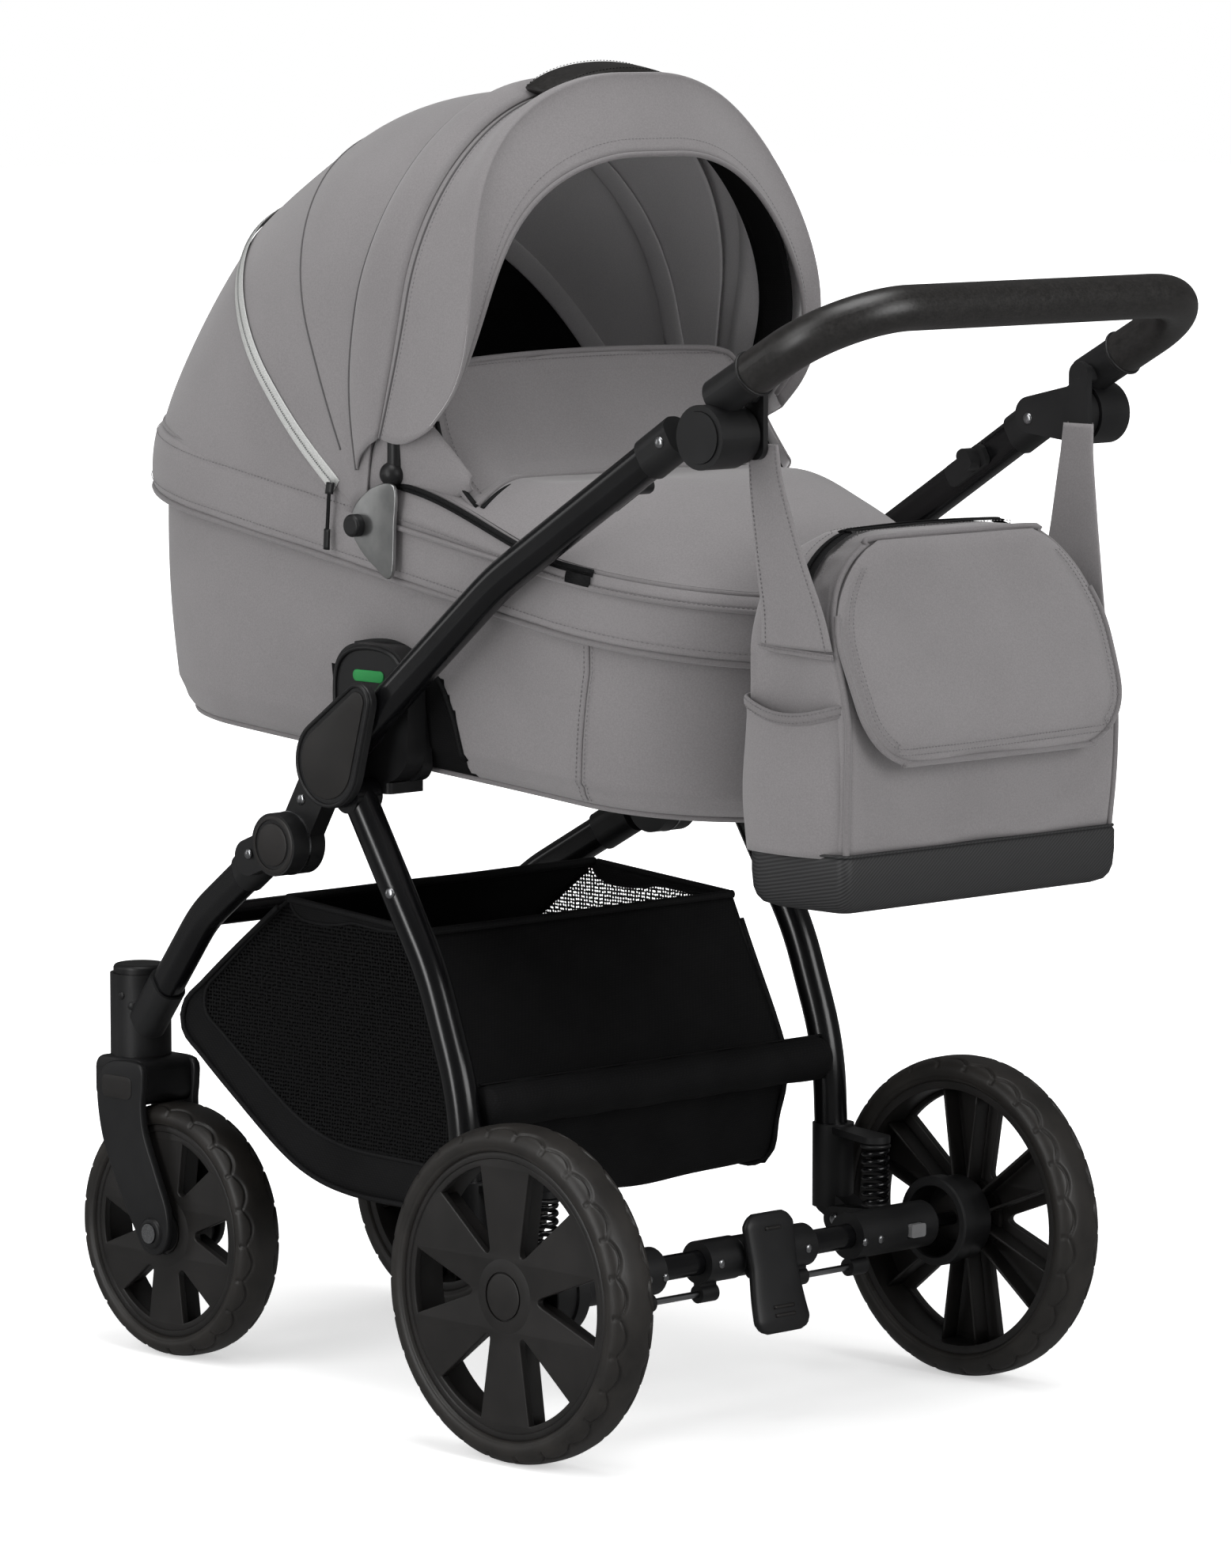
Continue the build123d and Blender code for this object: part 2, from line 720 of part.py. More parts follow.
# Basket: an open-topped fabric tub between the front tubes, the legs and the roll bar
basket_rear_roll = (roll_y - roll_r - move_gap, roll_z)
basket_outline = (
    basket_front_top,
    basket_front_low,
    basket_floor_front,
    (basket_floor_y, basket_floor_z),
    basket_rear_low,
    basket_rear_roll,
    basket_rear_top,
)
with BuildPart() as basket:
    with BuildSketch(yz(-basket_half_width)):
        with BuildLine():
            Polyline(*basket_outline, close=True)
        make_face()
    extrude(amount=2 * basket_half_width)
    with BuildSketch(yz(basket_wall - basket_half_width)):
        with BuildLine():
            Polyline(*basket_outline, close=True)
        make_face()
        offset(amount=-basket_wall, kind=Kind.INTERSECTION)
        with BuildLine():
            Polyline(
                (basket_front_top[0] + 3 * basket_wall, basket_front_top[1] - 2 * basket_wall),
                (basket_rear_top[0] - 3 * basket_wall, basket_rear_top[1] - 2 * basket_wall),
                (basket_rear_top[0] - 3 * basket_wall, basket_front_top[1] + basket_wall),
                (basket_front_top[0] + 3 * basket_wall, basket_front_top[1] + basket_wall),
                close=True,
            )
        make_face()
    extrude(amount=2 * (basket_half_width - basket_wall), mode=Mode.SUBTRACT)
save(basket, "basket")

# Suspension springs, drawn as grooved sleeves of the coil's outer size
arm_slope = (rear_wheel_r - swing_z) / (rear_axle_y - swing_y)
spring_low_z = swing_z + arm_slope * (spring_y + spring_r - swing_y) + arm_height / 2 + fit_gap
spring_pitch = (spring_top_z - spring_low_z) / spring_turns
with BuildPart() as springs:
    with BuildSketch(Plane.XY.offset(spring_low_z)):
        with Locations((spring_x, spring_y)):
            Circle(spring_r)
            Circle(spring_r - spring_wall, mode=Mode.SUBTRACT)
    extrude(amount=spring_top_z - spring_low_z)
    for turn in range(spring_turns):
        with BuildSketch(Plane.XY.offset(spring_low_z + spring_pitch * (turn + 1 / 3))):
            with Locations((spring_x, spring_y)):
                Circle(spring_r + proud)
                Circle(spring_r - spring_groove, mode=Mode.SUBTRACT)
        extrude(amount=spring_pitch / 3, mode=Mode.SUBTRACT)
    mirror(about=Plane.YZ)
save(springs, "springs")

# Rear axle: the tube, its two housings with trailing arms and stub axles, and the pedal's collars
rod_z = rear_wheel_r - rod_drop
axle_half = arm_in
with BuildPart() as axle_tube:
    ring(-axle_half, axle_half, rear_axle_y, rear_wheel_r, axle_r, axle_r - tube_wall)
save(axle_tube, "axle_tube")

button_in_y = rear_axle_y + housing_r - button_depth - button_travel
with BuildPart() as axle_housings:
    pin(housing_in, housing_out, rear_axle_y, rear_wheel_r, housing_r)
    with BuildSketch(yz(arm_in)):
        bar(rear_axle_y, rear_wheel_r, swing_y, swing_z, arm_height)
    extrude(amount=arm_out - arm_in)
    pin(housing_out - proud, rear_wheel_x + hub_width / 2, rear_axle_y, rear_wheel_r, stub_r)
    pin(housing_in, housing_in + rod_lug_length, rear_axle_y, rod_z, rod_lug_r)
    pin(housing_in - proud, axle_half + fit_gap, rear_axle_y, rear_wheel_r, axle_r + fit_gap, Mode.SUBTRACT)
    pin(housing_in, housing_in + rod_lug_length, rear_axle_y, rod_z, rod_r + run_gap, Mode.SUBTRACT)
    pin(arm_in - proud, arm_out + proud, swing_y, swing_z, swing_pin_r + run_gap, Mode.SUBTRACT)
    with BuildSketch(Plane.XZ.offset(-button_in_y)):
        with Locations((button_x, rear_wheel_r)):
            Rectangle(button_width + 2 * move_gap, button_height + 2 * move_gap)
    extrude(amount=-housing_r, mode=Mode.SUBTRACT)
    mirror(about=Plane.YZ)
save(axle_housings, "axle_housings")

with BuildPart() as pedal_collars:
    pin(collar_in, collar_out, rear_axle_y, rear_wheel_r, collar_r)
    pin(collar_out - rod_lug_length, collar_out, rear_axle_y, rod_z, rod_lug_r)
    with BuildSketch(yz(collar_out - rod_lug_length)):
        bar(rear_axle_y, rod_z, rear_axle_y, rear_wheel_r, rod_lug_r)
    extrude(amount=rod_lug_length)
    pin(collar_in - proud, collar_out + proud, rear_axle_y, rear_wheel_r, axle_r + fit_gap, Mode.SUBTRACT)
    pin(collar_in, collar_out + proud, rear_axle_y, rod_z, rod_r + run_gap, Mode.SUBTRACT)
    mirror(about=Plane.YZ)
save(pedal_collars, "pedal_collars")

# Brake pedal: an S-shaped rocker that turns on the axle tube
pedal_x = collar_in - move_gap
with BuildPart() as brake_pedal:
    pin(-pedal_x, pedal_x, rear_axle_y, rear_wheel_r, pedal_boss_r)
    with BuildSketch(yz(-pedal_half_width)):
        bar(pedal_top_y, pedal_top_z - pedal_thickness / 2, pedal_mid_y, pedal_mid_z, pedal_thickness)
        bar(pedal_mid_y, pedal_mid_z, pedal_low_y, pedal_low_z + pedal_thickness / 2, pedal_thickness)
        bar(rear_axle_y, rear_wheel_r, pedal_mid_y, pedal_mid_z, pedal_thickness)
    extrude(amount=2 * pedal_half_width)
    pin(-pedal_x - proud, pedal_x + proud, rear_axle_y, rear_wheel_r, axle_r + run_gap, Mode.SUBTRACT)
save(brake_pedal, "brake_pedal")

# Brake rods and wheel-release buttons, one on each side
for side, sign in sides:
    with BuildPart() as brake_rod:
        pin(
            sign * (collar_out - rod_engage),
            sign * (housing_in + rod_engage),
            rear_axle_y,
            rod_z,
            rod_r,
        )
    save(brake_rod, f"brake_rod_{side}")

    with BuildPart() as release_button:
        with BuildSketch(Plane.XZ.offset(-button_in_y - button_travel - half_gap)):
            with Locations((sign * button_x, rear_wheel_r)):
                RectangleRounded(button_width, button_height, button_height / 5)
        extrude(amount=-(button_depth + button_proud))
    save(release_button, f"release_button_{side}")

# Handle: a bent tube in a padded grip, on end pieces that turn on the collars' pins
grip_rise = degrees(atan2(grip_back_z - grip_start_z, grip_back_y - grip_start_y))
grip_reach = hypot(grip_back_y - grip_start_y, grip_back_z - grip_start_z)
handle_plane = Plane(
    origin=(0, grip_start_y, grip_start_z),
    x_dir=(1, 0, 0),
    z_dir=(0, -sin(radians(grip_rise)), cos(radians(grip_rise))),
)


def bent_tube(start, r_out, r_in):
    """A round tube along the handle's bend, whose ends lie at start on the two arms."""
    with BuildPart() as bent:
        with BuildLine(handle_plane) as bend:
            FilletPolyline(
                (tube_x, start),
                (tube_x, grip_reach),
                (-tube_x, grip_reach),
                (-tube_x, start),
                radius=handle_corner_r,
            )
        with BuildSketch(Plane(origin=bend.line @ 0, x_dir=(1, 0, 0), z_dir=bend.line % 0)):
            Circle(r_out)
            Circle(r_in, mode=Mode.SUBTRACT)
        sweep(path=bend.line)
    return bent


save(bent_tube(-handle_seat, handle_tube_r, handle_tube_r - handle_tube_wall), "handle_tube")
save(bent_tube(0, grip_r, handle_tube_r + fit_gap), "handle_grip")

arm_y, arm_z = along(grip_start_y, grip_start_z, grip_rise, -handle_end_back)
seat_y, seat_z = along(grip_start_y, grip_start_z, grip_rise, -handle_seat - fit_gap)
with BuildPart() as handle_ends:
    with BuildSketch(cross_plane(tube_x, arm_y, arm_z, grip_rise)):
        Circle(handle_end_r)
    extrude(amount=handle_end_back - fit_gap)
    pin(handle_drum_in, handle_drum_out, handle_y, handle_z, handle_drum_r)
    pin(ear_plate_in - proud, handle_drum_in, handle_y, handle_z, ear_plate_r + move_gap, Mode.SUBTRACT)
    pin(clip_out + move_gap, tube_x, clip_y, clip_z, clip_boss_r)
    pin(clip_in, clip_out + proud, clip_y, clip_z, clip_pin_r)
    with BuildSketch(cross_plane(tube_x, seat_y, seat_z, grip_rise)):
        Circle(handle_tube_r + fit_gap)
    extrude(amount=handle_seat + proud, mode=Mode.SUBTRACT)
    pin(
        handle_drum_out - press_depth,
        handle_drum_out + proud,
        handle_y,
        handle_z,
        press_r + move_gap,
        Mode.SUBTRACT,
    )
    pin(
        handle_drum_in - proud,
        handle_drum_out - press_depth - proud,
        handle_y,
        handle_z,
        handle_pin_r + run_gap,
        Mode.SUBTRACT,
    )
    mirror(about=Plane.YZ)
save(handle_ends, "handle_ends")

for side, sign in sides:
    with BuildPart() as pivot_button:
        pin(
            sign * (handle_drum_out - press_depth + press_travel + half_gap),
            sign * (handle_drum_out + press_proud),
            handle_y,
            handle_z,
            press_r,
        )
    save(pivot_button, f"pivot_button_{side}")

# Bag clips: hooks that hang from pins on the handle's end pieces
with BuildPart() as bag_clips:
    with BuildSketch(yz(clip_in)):
        bar(clip_y, clip_z, clip_y, clip_z - clip_drop, clip_width)
        with Locations((clip_y, clip_z)):
            Circle(clip_pin_r + run_gap, mode=Mode.SUBTRACT)
    extrude(amount=clip_out - clip_in)
    mirror(about=Plane.YZ)
save(bag_clips, "bag_clips")

# Bag: a hollow soft box with a zip opening, on a firm base, with a flap and two straps
bag_front_y = cot_y + cot_length / 2 + bag_clear
bag_back_y = bag_front_y + bag_depth
bag_y = bag_front_y + bag_depth / 2
bag_split_z = bag_low_z + bag_base_height


def bag_block(low_z, high_z, shrink):
    """A block of the bag's rounded outline, with rounded upper corners, made smaller by shrink."""
    with BuildPart() as block:
        with BuildSketch(Plane.XY.offset(low_z)):
            with Locations((0, bag_y)):
                RectangleRounded(2 * (bag_half_width - shrink), bag_depth - 2 * shrink, bag_corner - shrink)
        extrude(amount=high_z - low_z)
        with BuildSketch(Plane.XZ.offset(-bag_y)):
            with Locations((0, (high_z + low_z) / 2 - bag_top_corner)):
                RectangleRounded(
                    2 * (bag_half_width - shrink),
                    high_z - low_z + 2 * bag_top_corner,
                    bag_top_corner - shrink,
                )
        extrude(amount=bag_depth, both=True, mode=Mode.INTERSECT)
    return block.part


bag_outside = bag_block(bag_split_z + fit_gap, bag_top_z, 0)
bag_inside = bag_block(bag_split_z + fit_gap + bag_wall, bag_top_z - bag_wall, bag_wall)
pocket_low_z = bag_split_z + fit_gap
with BuildPart() as bag_body:
    add(bag_outside)
    for side, sign in sides:
        with BuildSketch(yz(sign * (bag_half_width - bag_corner))):
            with Locations((bag_y, (pocket_low_z + pocket_top_z) / 2)):
                RectangleRounded(pocket_length, pocket_top_z - pocket_low_z, pocket_corner)
        extrude(amount=sign * (bag_corner + pocket_swell), taper=pocket_taper)
    add(bag_inside, mode=Mode.SUBTRACT)
    with BuildSketch(Plane.XY.offset(bag_top_z - bag_top_corner / 2)):
        with Locations((0, bag_y)):
            RectangleRounded(2 * zip_half_length, zip_width, zip_width / 3)
    extrude(amount=bag_top_corner, mode=Mode.SUBTRACT)
save(bag_body, "bag_body")

with BuildPart() as bag_base:
    with BuildSketch(Plane.XY.offset(bag_low_z)):
        with Locations((0, bag_y)):
            RectangleRounded(2 * bag_half_width, bag_depth, bag_corner)
    extrude(amount=bag_base_height)
    fillet(bag_base.faces().sort_by(Axis.Z)[0].edges(), bag_corner / 4)
    with BuildSketch(Plane.XY.offset(bag_low_z + bag_wall)):
        with Locations((0, bag_y)):
            RectangleRounded(2 * (bag_half_width - bag_wall), bag_depth - 2 * bag_wall, bag_corner - bag_wall)
    extrude(amount=bag_base_height, mode=Mode.SUBTRACT)
save(bag_base, "bag_base")

with BuildPart() as bag_flap:
    with BuildSketch(Plane.XZ.offset(-bag_back_y - fit_gap)):
        with Locations((0, (flap_low_z + flap_top_z) / 2)):
            RectangleRounded(2 * flap_half_width, flap_top_z - flap_low_z, flap_corner)
    extrude(amount=-flap_thickness)
save(bag_flap, "bag_flap")

strap_top_z = clip_z - clip_drop
strap_side = bag_half_width + fit_gap
strap_top_x = clip_in - move_gap - strap_thickness
with BuildPart() as bag_straps:
    with BuildSketch(Plane.XZ.offset(-strap_y)):
        with BuildLine():
            Polyline(
                (strap_top_x, strap_top_z),
                (strap_side, strap_low_z),
                (strap_side, strap_low_z - strap_tail),
                (strap_side + strap_thickness, strap_low_z - strap_tail),
                (strap_side + strap_thickness, strap_low_z),
                (strap_top_x + strap_thickness, strap_top_z),
                close=True,
            )
        make_face()
    extrude(amount=strap_width / 2, both=True)
    mirror(about=Plane.YZ)
save(bag_straps, "bag_straps")

# Carrycot: a tapering tub with a rim band, on two planes that tilt down towards the foot end
rim_plane = Plane(
    origin=(0, cot_y, rim_z),
    x_dir=(1, 0, 0),
    z_dir=(0, sin(radians(rim_tilt)), cos(radians(rim_tilt))),
)
floor_plane = Plane(
    origin=(0, cot_y, floor_z),
    x_dir=(1, 0, 0),
    z_dir=(0, sin(radians(floor_tilt)), cos(radians(floor_tilt))),
)


def cot_outline(inset, corner, mode=Mode.ADD):
    """The carrycot's outline seen from above, drawn in by inset."""
    RectangleRounded(2 * (cot_half_width - inset), cot_length - 2 * inset, corner, mode=mode)


def tub_block(wall, low, high):
    """The tapering tub, drawn in by wall, from low above the floor plane to high above the rim plane."""
    with BuildPart() as block:
        with BuildSketch(floor_plane.offset(low)):
            cot_outline(floor_inset + wall, floor_corner - wall)
        with BuildSketch(rim_plane.offset(high)):
            cot_outline(tub_inset + wall, cot_corner - tub_inset - wall)
        loft(ruled=True)
    return block.part


tub_outside = tub_block(0, 0, 0)
tub_inside = tub_block(tub_wall, tub_wall, proud)
tub_clear = tub_block(-fit_gap, -proud * 8, proud)
with BuildPart() as cot_shell:
    add(tub_outside)
    add(tub_inside, mode=Mode.SUBTRACT)
save(cot_shell, "cot_shell")

with BuildPart() as rim_band:
    with BuildSketch(rim_plane.offset(-foot_floor)):
        cot_outline(0, cot_corner)
        cot_outline(tub_inset - fit_gap, cot_corner - tub_inset + fit_gap, mode=Mode.SUBTRACT)
    extrude(amount=rim_height + foot_floor)
    add(tub_clear, mode=Mode.SUBTRACT)
save(rim_band, "rim_band")

with BuildPart() as cot_adapters:
    with BuildSketch(yz(adapter_in)):
        with Locations((receiver_y, (receiver_low_z + move_gap + adapter_top_z) / 2)):
            RectangleRounded(adapter_width, adapter_top_z - receiver_low_z - move_gap, adapter_width / 5)
    extrude(amount=adapter_out - adapter_in)
    add(tub_clear, mode=Mode.SUBTRACT)
    mirror(about=Plane.YZ)
save(cot_adapters, "cot_adapters")

with BuildPart() as mattress:
    with BuildSketch(floor_plane.offset(tub_wall + fit_gap)):
        cot_outline(floor_inset + tub_wall + mattress_gap, floor_corner - tub_wall - mattress_gap)
    extrude(amount=mattress_thickness)
    fillet(mattress.faces().sort_by(Axis.Z)[-1].edges(), mattress_thickness / 4)
save(mattress, "mattress")

# Apron over the foot end, with the wind flap that stands up at its head edge
apron_plane = rim_plane.offset(rim_height + fit_gap)


def apron_dome(shrink):
    """The dome over the whole carrycot, made smaller by shrink."""
    with BuildPart() as dome:
        with BuildSketch(apron_plane):
            cot_outline(shrink, cot_corner - shrink)
        extrude(amount=apron_rise - shrink, taper=apron_taper)
    return dome.part


flap_rim_z = apron_plane.origin.Z - (wind_flap_foot_y - apron_plane.origin.Y) * tan(radians(rim_tilt))
flap_foot_z = flap_rim_z + wind_flap_lift
flap_plane = Plane(
    origin=(0, wind_flap_foot_y, flap_foot_z),
    x_dir=(-1, 0, 0),
    z_dir=(0, cos(radians(wind_flap_lean)), sin(radians(wind_flap_lean))),
)
flap_length = (wind_flap_top_z - flap_foot_z) / cos(radians(wind_flap_lean))
with BuildPart() as apron:
    add(apron_dome(0))
    split(bisect_by=Plane.XZ.offset(-apron_edge_y), keep=Keep.BOTTOM)
    with BuildSketch(flap_plane) as flap_face:
        Rectangle(2 * wind_flap_half_width, flap_length, align=(Align.CENTER, Align.MIN))
        fillet(flap_face.vertices().group_by(Axis.Y)[-1], wind_flap_corner)
    extrude(amount=-wind_flap_thickness)
    add(apron_dome(apron_wall), mode=Mode.SUBTRACT)
save(apron, "apron")

# Hood: three nested sections that turn about the hinge, the front one outermost
hood_axis = Axis((0, cot_y, hood_z), (1, 0, 0))


def radial(angle):
    """Direction of an angle about the hood's hinge, from the foot end upwards."""
    return Vector(0, cos(radians(angle)), sin(radians(angle)))


def hood_section(step, top, start, stop):
    """The band of the hood between two angles, of that top radius, set in by that many shell steps."""
    half = hood_half_width - step * hood_step
    corner = half - hood_flat
    low = hood_pin_r + run_gap
    with BuildPart() as section:
        out = radial(start)
        with BuildSketch(Plane(origin=(0, cot_y, hood_z), x_dir=(1, 0, 0), z_dir=(0, -out.Z, out.Y))):
            with BuildLine():
                FilletPolyline((half, low), (half, top), (-half, top), (-half, low), radius=corner)
                FilletPolyline(
                    (half - hood_shell, low),
                    (half - hood_shell, top - hood_shell),
                    (hood_shell - half, top - hood_shell),
                    (hood_shell - half, low),
                    radius=corner - hood_shell,
                )
                Line((half, low), (half - hood_shell, low))
                Line((-half, low), (hood_shell - half, low))
            make_face()
        revolve(axis=hood_axis, revolution_arc=stop - start)
        for sign in (1, -1):
            ring(sign * (half - hood_shell), sign * half, cot_y, hood_z, hood_hub_ring_r, low)
    return section


save(hood_section(0, hood_r, hood_front_from, hood_front_to), "hood_front")
save(hood_section(1, hood_mid_r, hood_front_to - hood_lap, hood_mid_to), "hood_middle")
save(hood_section(2, hood_mid_r - hood_step, hood_mid_to - hood_lap, hood_back_to), "hood_back")

# Hood plates with the hinge pins, the knobs on them, and the carry handle on the front section
plate_in = hood_half_width + move_gap
with BuildPart() as hood_plates:
    with BuildSketch(yz(plate_in)):
        tapered(cot_y, hood_z, plate_r, cot_y, hood_z - plate_drop, plate_low_r)
    extrude(amount=plate_thickness)
    pin(cot_half_width + fit_gap, plate_in + proud, cot_y, hood_z, hood_pin_r)
    mirror(about=Plane.YZ)
save(hood_plates, "hood_plates")

with BuildPart() as hood_knobs:
    pin(plate_in + plate_thickness + fit_gap, plate_in + plate_thickness + knob_height, cot_y, hood_z, knob_r)
    fillet(hood_knobs.faces().sort_by(Axis.X)[-1].edges(), knob_height / 3)
    mirror(about=Plane.YZ)
save(hood_knobs, "hood_knobs")

carry_angle = (hood_front_from + hood_front_to) / 2
carry_out = radial(carry_angle)
with BuildPart() as carry_handle:
    carry_origin = Vector(0, cot_y, hood_z) + carry_out * (hood_r + fit_gap)
    with BuildSketch(Plane(origin=carry_origin, x_dir=(1, 0, 0), z_dir=carry_out)):
        RectangleRounded(2 * carry_half_length, carry_width, carry_width / 3)
    extrude(amount=carry_thickness)
    carry_top = carry_handle.faces().sort_by(Axis(carry_origin, carry_out))[-1]
    fillet(carry_top.edges(), carry_thickness / 3)
save(carry_handle, "carry_handle")
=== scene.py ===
# %% [markdown]
# # A pram with a carrycot, dressed over its CAD frame
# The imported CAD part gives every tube, hinge and wheel its true place. This lesson loads it, gives the hard
# parts their finishes, and then sews the soft parts (hood, carrycot, apron, bag, basket) over it. Everything
# is in metres.

# %% Load the frame
import json
import math

import bmesh
import bpy
import numpy as np
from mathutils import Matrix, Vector

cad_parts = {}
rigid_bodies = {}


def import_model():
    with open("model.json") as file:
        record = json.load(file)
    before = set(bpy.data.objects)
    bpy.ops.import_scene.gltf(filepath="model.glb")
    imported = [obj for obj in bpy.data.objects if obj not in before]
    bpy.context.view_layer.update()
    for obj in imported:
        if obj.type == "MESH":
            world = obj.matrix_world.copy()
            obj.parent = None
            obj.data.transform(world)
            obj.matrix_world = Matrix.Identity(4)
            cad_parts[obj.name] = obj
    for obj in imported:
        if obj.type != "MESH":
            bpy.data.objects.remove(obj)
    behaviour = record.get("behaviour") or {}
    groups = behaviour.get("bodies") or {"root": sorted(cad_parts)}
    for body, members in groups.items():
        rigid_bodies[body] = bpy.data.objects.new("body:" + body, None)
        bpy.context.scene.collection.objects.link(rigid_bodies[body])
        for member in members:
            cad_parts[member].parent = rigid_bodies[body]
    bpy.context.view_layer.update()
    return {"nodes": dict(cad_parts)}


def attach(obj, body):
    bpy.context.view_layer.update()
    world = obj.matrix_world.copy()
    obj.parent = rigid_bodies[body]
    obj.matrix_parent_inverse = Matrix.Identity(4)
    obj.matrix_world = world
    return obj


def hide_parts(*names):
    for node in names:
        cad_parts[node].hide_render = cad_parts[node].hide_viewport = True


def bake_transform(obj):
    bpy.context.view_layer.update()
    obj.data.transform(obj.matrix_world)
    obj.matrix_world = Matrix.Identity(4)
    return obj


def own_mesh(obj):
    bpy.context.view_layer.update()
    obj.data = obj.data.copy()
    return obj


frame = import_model()
MM = 0.001

# %% [markdown]
# Colours are written as the hex codes a paint or cloth card gives. Blender shades in linear light, so one
# function turns a code into linear values. Another adds a shader node, sets its values and links its inputs,
# and short ones for noise, colour ramps and bumps build on it.

# %% Object, colour and node helpers
def shown(name, data):
    """A new object in the scene."""
    made = bpy.data.objects.new(name, data)
    bpy.context.collection.objects.link(made)
    return made


def linear(code):
    """sRGB hex to a linear RGBA colour."""
    channels = [int(code[i:i + 2], 16) / 255 for i in (1, 3, 5)]
    return [c / 12.92 if c <= 0.04045 else ((c + 0.055) / 1.055) ** 2.4 for c in channels] + [1.0]


def add(tree, kind, inputs=None, **settings):
    """Adds a node; an input given as a socket is linked, any other is set."""
    made = tree.nodes.new(kind)
    for name, value in settings.items():
        setattr(made, name, value)
    for key, value in (inputs or {}).items():
        if isinstance(value, bpy.types.NodeSocket):
            tree.links.new(value, made.inputs[key])
        else:
            made.inputs[key].default_value = value
    return made


def material(name, rough, metallic=0.0, ior=1.5, **shader):
    """An empty Principled material, and its tree, shader and Object coordinates."""
    made = bpy.data.materials.new(name)
    made.use_nodes = True
    tree = made.node_tree
    skin = tree.nodes["Principled BSDF"]
    skin.inputs["Roughness"].default_value = rough
    skin.inputs["Metallic"].default_value = metallic
    skin.inputs["IOR"].default_value = ior
    for key, value in shader.items():
        skin.inputs[key.replace("_", " ")].default_value = value
    place = add(tree, "ShaderNodeTexCoord").outputs["Object"]
    return made, tree, skin, place


def noise(tree, place, scale, detail):
    """Soft spots, about so many to the metre."""
    made = add(tree, "ShaderNodeTexNoise", {"Vector": place, "Scale": scale, "Detail": detail})
    return made.outputs["Fac"]


def wave_scale(spacing_mm):
    """The scale at which a wave texture repeats once in that spacing."""
    return 1 / (spacing_mm * MM) / 20 * 2 * math.pi


def paint(tree, skin, factor, *stops):
    """Colours a shader by a ramp through (position, hex) stops, driven by a factor."""
    ramp = add(tree, "ShaderNodeValToRGB", {"Fac": factor})
    elements = ramp.color_ramp.elements
    while len(elements) < len(stops):
        elements.new(0.5)
    for element, (position, code) in zip(elements, stops):
        element.position = position
        element.color = linear(code)
    tree.links.new(ramp.outputs["Color"], skin.inputs["Base Color"])


def rough_bump(tree, skin, height, depth_mm, strength=1.0):
    """Feeds a height of that many millimetres into the shader's normal."""
    bump = add(tree, "ShaderNodeBump", {"Height": height, "Distance": depth_mm * MM, "Strength": strength})
    tree.links.new(bump.outputs["Normal"], skin.inputs["Normal"])


print("helpers ready, mid grey is", [round(c, 3) for c in linear("#808080")])

# %% [markdown]
# ## Hard finishes
# The chassis is aluminium tube with a black powder coat: a satin skin with a faint orange peel a few
# millimetres across. The fittings are glass-filled nylon, moulded with a fine spark-eroded grain that
# scatters the light.

# %% Powder coat and moulded nylon
def powder_coat():
    made, tree, skin, place = material("powder_coated_aluminium", 0.22, ior=1.5, Specular_IOR_Level=0.52)
    peel = noise(tree, place, 380.0, 2.0)
    patch = noise(tree, place, 14.0, 3.0)
    paint(tree, skin, patch, (0.3, "#08080a"), (0.7, "#0d0d0e"))
    rough = add(tree, "ShaderNodeMapRange", {"Value": patch, "To Min": 0.17, "To Max": 0.26})
    tree.links.new(rough.outputs["Result"], skin.inputs["Roughness"])
    rough_bump(tree, skin, peel, 0.05, 0.5)
    return made


def moulded_nylon(name, dark, light, rough, grain_mm=0.9, depth_mm=0.08):
    made, tree, skin, place = material(name, rough, ior=1.53, Specular_IOR_Level=0.42)
    grain = noise(tree, place, 1000 / grain_mm, 3.0)
    patch = noise(tree, place, 22.0, 4.0)
    paint(tree, skin, patch, (0.3, dark), (0.7, light))
    scuff = add(tree, "ShaderNodeMapRange", {"Value": patch, "To Min": rough - 0.05, "To Max": rough + 0.07})
    tree.links.new(scuff.outputs["Result"], skin.inputs["Roughness"])
    rough_bump(tree, skin, grain, depth_mm, 0.6)
    return made


coat = powder_coat()
nylon = moulded_nylon("moulded_nylon_black", "#141415", "#1c1c1d", 0.43)
rim_nylon = moulded_nylon("wheel_nylon_black", "#1c1b1a", "#252322", 0.42)
button_grey = moulded_nylon("button_plastic_grey", "#6a6a6b", "#757576", 0.5)
signal_green = moulded_nylon("signal_green", "#1d7f3f", "#2a9a4e", 0.4)
print("hard finishes:", coat.name, nylon.name)

# %% [markdown]
# Bright steel on bolts and brake rods was drawn through a die, so it keeps faint long scratches. The hood
# plates are satin aluminium castings. The tyres are foam-filled EVA rubber, nearly black and very matt.

# %% Steel, casting and rubber
def drawn_steel():
    made, tree, skin, place = material("drawn_steel", 0.28, metallic=1.0)
    stretch = add(tree, "ShaderNodeMapping",
                  {"Vector": place, "Scale": (30.0, 900.0, 900.0)}).outputs["Vector"]
    lines = noise(tree, stretch, 1.0, 4.0)
    paint(tree, skin, lines, (0.3, "#8d8e90"), (0.7, "#c3c4c6"))
    rough_bump(tree, skin, lines, 0.02, 0.4)
    return made


def satin_casting():
    made, tree, skin, place = material("satin_aluminium_casting", 0.36, metallic=1.0)
    blast = noise(tree, place, 1400.0, 2.0)
    patch = noise(tree, place, 60.0, 3.0)
    paint(tree, skin, patch, (0.3, "#a3a4a4"), (0.7, "#b6b7b6"))
    rough_bump(tree, skin, blast, 0.03, 0.5)
    return made


